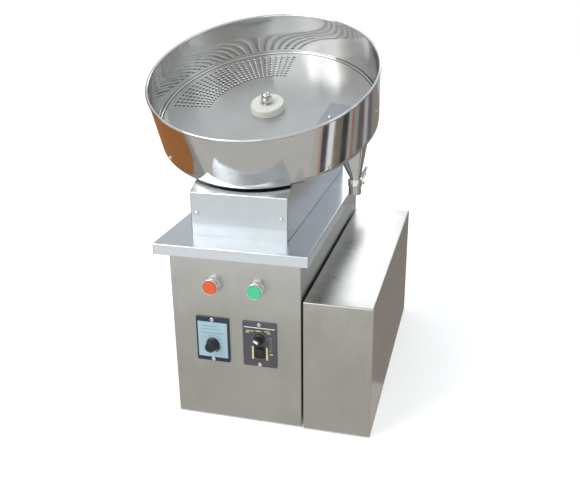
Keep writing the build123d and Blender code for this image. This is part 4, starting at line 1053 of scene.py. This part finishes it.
def makeFacePlate(side, materials, extra, slotName):
    # a moulded plate with softened edges, less its holes, with raised print on its face
    node = side + "_face_plate"
    low, high = span(node, panel)
    x, y = middleOf(node, panel)
    plate = slab(panel, x, y, *(high - low)[:2], 0, high[2], plates["corner"], plates["edge"])
    knobX, knobY = jointSpot(side + "_knob_turn")
    hole, through = plates["spindleHole"], (-0.002, 0.006)
    cutters = [[turned([(0, through[0]), (hole, through[0]), (hole, through[1]),
                        (0, through[1])], moved(panel, knobX, knobY), 32)]]
    if side == "right":
        cutters.append([slab(panel, *middleOf("rocker_frame", panel), *plates["rockerHole"],
                             *through)])
    piece = meshObject(side + "_plate_printed", [plate])
    cutAway(piece, cutters)
    marked = extra(moved(panel, x, y, high[2]), knobX - x, knobY - y)
    joinInto(piece, meshObject("print", marked))
    finished(piece, "frame", slotName, materials, [node], sharp=40)


def joinInto(piece, other):
    # adds the other object's mesh to the piece and removes the other
    work = bmesh.new()
    work.from_mesh(piece.data)
    work.from_mesh(other.data)
    work.to_mesh(piece.data)
    work.free()
    bpy.data.objects.remove(other)


def jointSpot(name):
    # where a hinge's axis meets the front panel, in the panel's x and y
    return ((np.array(joints[name]["pos_m"]) - panel[:3, 3]) @ panel[:3, :3])[:2]


def leftPrint(place, knobX, knobY):
    # a pale field inside the dark border, three lines of type as plain rules, and a dial scale
    field = slab(place, 0, -0.0005, 0.0535, 0.0675, -0.0002, 0.0002, 0.0008)
    top = moved(place, z=0.0002)
    lines = ((0.0255, 0.030, -0.0055), (0.0195, 0.037, -0.0035), (0.0125, 0.044, 0.0))
    ring = [marks["tickRadius"] + (0 if number % 5 else 0.0005) for number in range(11)]
    return [dict(field, material=1),
            *(printed(top, x, y, width, 0.0010, 2) for y, width, x in lines),
            *dial(top, knobX, knobY, ring, 225, 27, marks["tickLength"], 0.0007, 2)]


def rightPrint(place, knobX, knobY):
    # a white rule, two rows of short yellow dashes, two pale bars beside the rocker, and ticks
    shapes = [(0, 0.0322, 0.0545, 0.0015, 2), (-0.0165, 0.0255, 0.013, 0.0016, 1),
              (-0.002, 0.0262, 0.010, 0.0016, 1), (0.0135, 0.0270, 0.009, 0.0016, 1),
              (0.0165, 0.0235, 0.006, 0.0016, 1), (-0.0215, 0.0225, 0.006, 0.0016, 1),
              (-0.0125, -0.0160, 0.0030, 0.0250, 1), (0.0128, -0.0160, 0.0030, 0.0250, 1),
              (0.0205, -0.0165, 0.0055, 0.0018, 1)]
    shapes += [(0.0195, 0.0155 - 0.0032 * number, 0.0035 if number % 4 else 0.006, 0.0008, 3)
               for number in range(9)]
    return [printed(place, *shape) for shape in shapes] + dial(
        place, knobX, knobY, [0.0128] * 7, 200, 33, 0.0022, 0.0008, 3)


knobs = {"spindle": 0.003, "gap": 0.0004, "skirtHeight": 0.0022, "inset": 0.002,
         "fluteDepth": 0.0009, "leftSkirt": 0.012, "noseHeight": 0.0055, "whiteTurn": 150}


def makeKnob(side, flutes, nose):
    # a fluted grip that narrows towards its face, on a thin skirt
    node = side + "_knob"
    place = moved(panel, *jointSpot(side + "_knob_turn"))
    low, depth, _, reach = turnedSizes(node, place)
    base = panelThick() + knobs["gap"]
    skirt = knobs["leftSkirt"] if nose else radii(node, place, base - 1e-5, base + 0.0001)[1]
    grip, spindle = skirt - knobs["inset"], knobs["spindle"]
    profile = rounded([(0, low), (spindle, low), (spindle, base), (skirt, base),
                       (skirt, base + knobs["skirtHeight"]), (grip, base + 0.0034),
                       (grip - 0.0009, depth - 0.0002), (grip - 0.0035, depth),
                       (grip - 0.0042, depth - 0.0006), (0, depth - 0.0006)],
                      [0.0002, 0.0002, 0.0003, 0.0007, 0.0008, 0.0009, 0.0006, 0.0003], 5)
    angle = np.linspace(0, 2 * math.pi, 12 * flutes + 1)[None]
    radius, height = profile[:, :1], profile[:, 1:]
    inGrip = (np.clip((height - base - 0.003) / 0.001, 0, 1)
              * np.clip((radius - grip + 0.0032) / 0.001, 0, 1))
    groove = np.maximum(np.cos(flutes * angle), 0) ** 2
    size = radius - knobs["fluteDepth"] * inGrip * groove
    patches = [{"grid": toWorld(around(size, angle, height), place)}]
    if nose:
        pointer = moved(place, turn=nosePoint(node, place, skirt))
        reach -= 0.0002
        wedge = [(grip * 0.3, -0.0075), (reach, -0.0032), (reach, 0.0032), (grip * 0.3, 0.0075)]
        patches.append(wrapped(wedge, blockStations(base, base + knobs["noseHeight"], 0.0008),
                               pointer, 0.0010, 5))
        patches.append(dict(slab(pointer, (grip + reach) / 2 - 0.001, 0, reach - grip - 0.0005,
                                 0.0007, base + 0.0053, base + 0.00565), material=1))
    else:
        pointer = moved(place, turn=knobs["whiteTurn"])
        patches.append(dict(slab(pointer, grip * 0.36, 0, grip * 1.1, 0.0046, depth - 0.0012,
                                 depth, 0.0008, 0.0002), material=1))
    makePiece(side + "_knob_grip", patches, side + "_knob", "black_plastic", [node],
              [finishes["black_plastic"], whitePrint], sharp=40)


def nosePoint(node, place, skirt):
    # direction of the knob's pointer, in degrees
    points = localPoints(node, place)
    far = points[np.hypot(points[:, 0], points[:, 1]) > skirt + 0.001]
    middle = far.mean(0)
    return math.degrees(math.atan2(middle[1], middle[0]))


def panelThick():
    return span("left_face_plate", panel)[1][2]


rocker = {"half": 0.0082, "restTurn": 10.0, "edge": 0.0004, "cavity": (0.0136, 0.0174),
          "flange": 0.0012}


def makeRocker():
    # the rocker's side outline, a shallow dip between two raised ends on a round back, carried
    # across, and a frame with a soft edge round it
    low, high = (np.array(c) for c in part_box("rocker"))
    half, edge = rocker["half"], rocker["edge"]
    rest = math.radians(rocker["restTurn"])
    place = placeAt(joints["rocker_tilt"]["pos_m"], (0, -math.cos(rest), -math.sin(rest)),
                    (1, 0, 0))
    s = np.linspace(-1, 1, 17)
    face = np.stack([0.0010 + 0.0014 * np.abs(s) ** 1.6, s * half], -1)
    outline = np.concatenate([face, arc(0, 0, half, quarter, 3 * quarter, 15)[1:-1]])
    corner = np.zeros(len(outline))
    corner[[0, 16]] = edge
    width = high[0] - low[0]
    makePiece("rocker_paddle", [wrapped(outline, blockStations(-width / 2, width / 2, edge),
                                        place, corner, 3)],
              "rocker", "black_plastic", ["rocker"], sharp=40)
    low, high = span("rocker_frame", panel)
    x, y = middleOf("rocker_frame", panel)
    front, inset = panelThick(), rocker["flange"]
    body = wrapped(rectangle(x, y, *(high - low)[:2]),
                   [(inset, low[2]), (inset, front), (0, front)]
                   + blockStations(front, high[2], 0.0006)[4:], panel, 0.0016, 5)
    makePiece("rocker_bezel", [body], "frame", "black_plastic", ["rocker_frame"], None,
              [[slab(panel, x, y, *rocker["cavity"], -0.0101, high[2] + 0.001, 0.0006)]],
              sharp=40)


bezelSteel = polishedSteel("bezelSteel", (0.78, 0.78, 0.78), 0.16, (60, 60, 60), source="Object",
                           wave=0.00001, waveScale=(200, 200, 200))
for name, colour in buttons.items():
    makeButton(name, colour)
makeFacePlate("left", [navy, finishes["light_face"], greyPrint], leftPrint, "light_face")
makeFacePlate("right", [finishes["dark_face"], yellowPrint, whitePrint, greyPrint], rightPrint,
              "dark_face")
makeKnob("left", 10, True)
makeKnob("right", 12, False)
makeRocker()
screwsOf("panel_screws", (0, -1, 0), "panel_screw_heads")
print("controls made")


# ---- floor, lights and camera

studio = {
    "floorSize": 60.0, "floorColour": (0.9, 0.9, 0.9), "floorGlow": 0.3, "worldStrength": 1.0,
    "front": {"low": (0.46, 0.45, 0.42), "high": (0.78, 0.79, 0.78)},
    "back": {"low": (0.60, 0.63, 0.66), "high": (0.85, 0.90, 0.94)},
}


def board(name, place, width, length, colour, glow, strength):
    # one flat face with a plain material that glows, left out of the object
    x, y = width / 2, length / 2
    grid = toWorld(np.array([[(-x, -y, 0), (x, -y, 0)], [(-x, y, 0), (x, y, 0)]], float), place)
    made, tree, shader = material(name, **{"Base Color": (*colour, 1), "Emission Color": (*glow, 1),
                                           "Emission Strength": strength})
    piece = meshObject(name, [{"grid": grid}])
    piece.data.materials.append(made)
    return piece, shader


def makeFloor():
    size = 2 * studio["floorSize"]
    floor, shader = board("floor", ground, size, size, studio["floorColour"], (1, 1, 1),
                          studio["floorGlow"])
    shader.inputs["Roughness"].default_value = 0.9


def areaLight(name, position, target, width, height, power, colour=(1, 1, 1)):
    data = bpy.data.lights.new(name, "AREA")
    data.shape, data.size, data.size_y = "RECTANGLE", width, height
    data.energy, data.color = power, colour
    light = bpy.data.objects.new(name, data)
    z = unit(np.array(position) - np.array(target))
    light.matrix_world = Matrix(placeAt(position, np.cross((0, 0, 1), z), z).tolist())
    bpy.context.scene.collection.objects.link(light)


def reflectionCard(name, position, target, width, height, glow):
    # a glowing board that only reflections see, facing a target
    z = unit(np.array(target) - np.array(position))
    side = np.cross((0, 0, 1), z) if abs(z[2]) < 0.99 else (1, 0, 0)
    card, shader = board(name, placeAt(position, side, z), width, height, (0, 0, 0), glow, 1)
    shader.inputs["Roughness"].default_value = 1.0
    shader.inputs["Specular IOR Level"].default_value = 0
    card.visible_camera = False
    card.visible_shadow = False
    card.visible_diffuse = False


def makeWorld():
    # pale all round, a little darker and warmer at the horizon in front, brightest behind
    world = bpy.data.worlds.new("studio")
    bpy.context.scene.world = world
    world.use_nodes = True
    tree = world.node_tree
    origin = addNode(tree, "ShaderNodeTexCoord").outputs["Generated"]
    parts = addNode(tree, "ShaderNodeSeparateXYZ", [(origin, "Vector")]).outputs
    up = between(tree, parts[2], 0.0, 1.0, -0.1, 0.7)
    back = between(tree, parts[1], 0.0, 1.0, -0.6, 0.8)
    low, high = (blended(tree, back, studio["front"][key], studio["back"][key])
                 for key in ("low", "high"))
    background = tree.nodes["Background"]
    tree.links.new(blended(tree, up, low, high), background.inputs["Color"])
    background.inputs["Strength"].default_value = studio["worldStrength"]


view = {"position": (0.3648, -1.31505, 0.7643), "yaw": 15.01, "pitch": 21.13, "roll": -0.56,
        "lens": 45.2, "sensor": 36.0}


def makeCamera():
    yaw, pitch, roll = (math.radians(view[key]) for key in ("yaw", "pitch", "roll"))
    forward = np.array([-math.sin(yaw) * math.cos(pitch), math.cos(yaw) * math.cos(pitch),
                        -math.sin(pitch)])
    right = np.array([math.cos(yaw), math.sin(yaw), 0])
    up = np.cross(right, forward)
    tilted = right * math.cos(roll) + up * math.sin(roll)
    data = bpy.data.cameras.new("camera")
    data.lens, data.sensor_width, data.sensor_fit = view["lens"], view["sensor"], "HORIZONTAL"
    data.clip_start, data.clip_end = 0.05, 200
    camera = bpy.data.objects.new("camera", data)
    camera.matrix_world = Matrix(placeAt(view["position"], tilted, -forward).tolist())
    bpy.context.scene.collection.objects.link(camera)
    bpy.context.scene.camera = camera


makeFloor()
makeWorld()
areaLight("keyLight", (-1.8, -2.0, 2.4), (0, 0, 0.3), 1.8, 1.8, 52)
areaLight("discLight", (0.70, 2.3, 2.9), (0, 0, 0.5), 0.9, 0.9, 10, (0.88, 0.96, 1.0))
areaLight("sideLight", (2.2, -0.6, 1.6), (0, 0, 0.3), 1.2, 1.4, 5, (0.92, 0.96, 1.0))
cards = {
    "nearGround": ((0, -0.596, 0.003), (0, -0.596, 1), 5.0, 0.668, (0.60, 0.585, 0.55)),
    "nearGroundRight": ((1.36, -0.18, 0.004), (1.36, -0.18, 1), 2.27, 0.18, (0.55, 0.52, 0.48)),
    "brightGround": ((0, -1.01, 0.003), (0, -1.01, 1), 5.0, 0.16, (1.5, 1.52, 1.52)),
    "farGround": ((0, -2.39, 0.003), (0, -2.39, 1), 5.0, 2.6, (0.98, 1.02, 1.03)),
    "frontSky": ((-1.3, -4.2, 1.9), (-1.3, 0, 0.9), 3.6, 2.0, (2.3, 2.35, 2.35)),
    "rightGround": ((1.623, 2.74, 0.002), (1.623, 2.74, 1), 2.8, 6.0, (0.30, 0.27, 0.24)),
    "leftGround": ((-1.532, 1.24, 0.002), (-1.532, 1.24, 1), 2.8, 3.0, (0.36, 0.35, 0.33)),
    "brownBoard": ((-0.62, 0.20, 0.45), (0, 0.20, 0.45), 0.80, 0.9, (0.40, 0.165, 0.06)),
    "brightWindow": ((-0.40, 3.2, 1.62), (-0.40, 0, 1.0), 0.72, 1.0, (3.0, 3.05, 3.1)),
    "blueWall": ((1.25, 3.0, 0.45), (1.25, 0, 0.45), 2.2, 0.9, (0.40, 0.50, 0.56)),
}
# boards side by side along one wall: where each ends, and its glow
streaks = ((-0.195, (0.62, 0.40, 0.30)), (-0.15, (0.05, 0.06, 0.09)), (-0.11, (1.0, 1.0, 0.98)),
           (-0.05, (0.24, 0.21, 0.17)), (0.0, (0.05, 0.05, 0.05)), (0.03, (0.45, 0.44, 0.42)),
           (0.05, (0.40, 0.14, 0.10)), (0.10, (0.34, 0.34, 0.32)), (0.19, (0.16, 0.13, 0.11)),
           (0.27, (0.5, 0.5, 0.52)), (0.42, (0.16, 0.15, 0.17)))
start = -0.215
for number, (end, glow) in enumerate(streaks):
    middle = (start + end) / 2
    cards["streak%d" % number] = ((0.45, middle, 0.36), (0, middle, 0.36), end - start, 0.72, glow)
    start = end
for name, values in cards.items():
    reflectionCard(name, *values)
makeCamera()
bpy.context.scene.view_settings.view_transform = "Standard"
print("studio made")
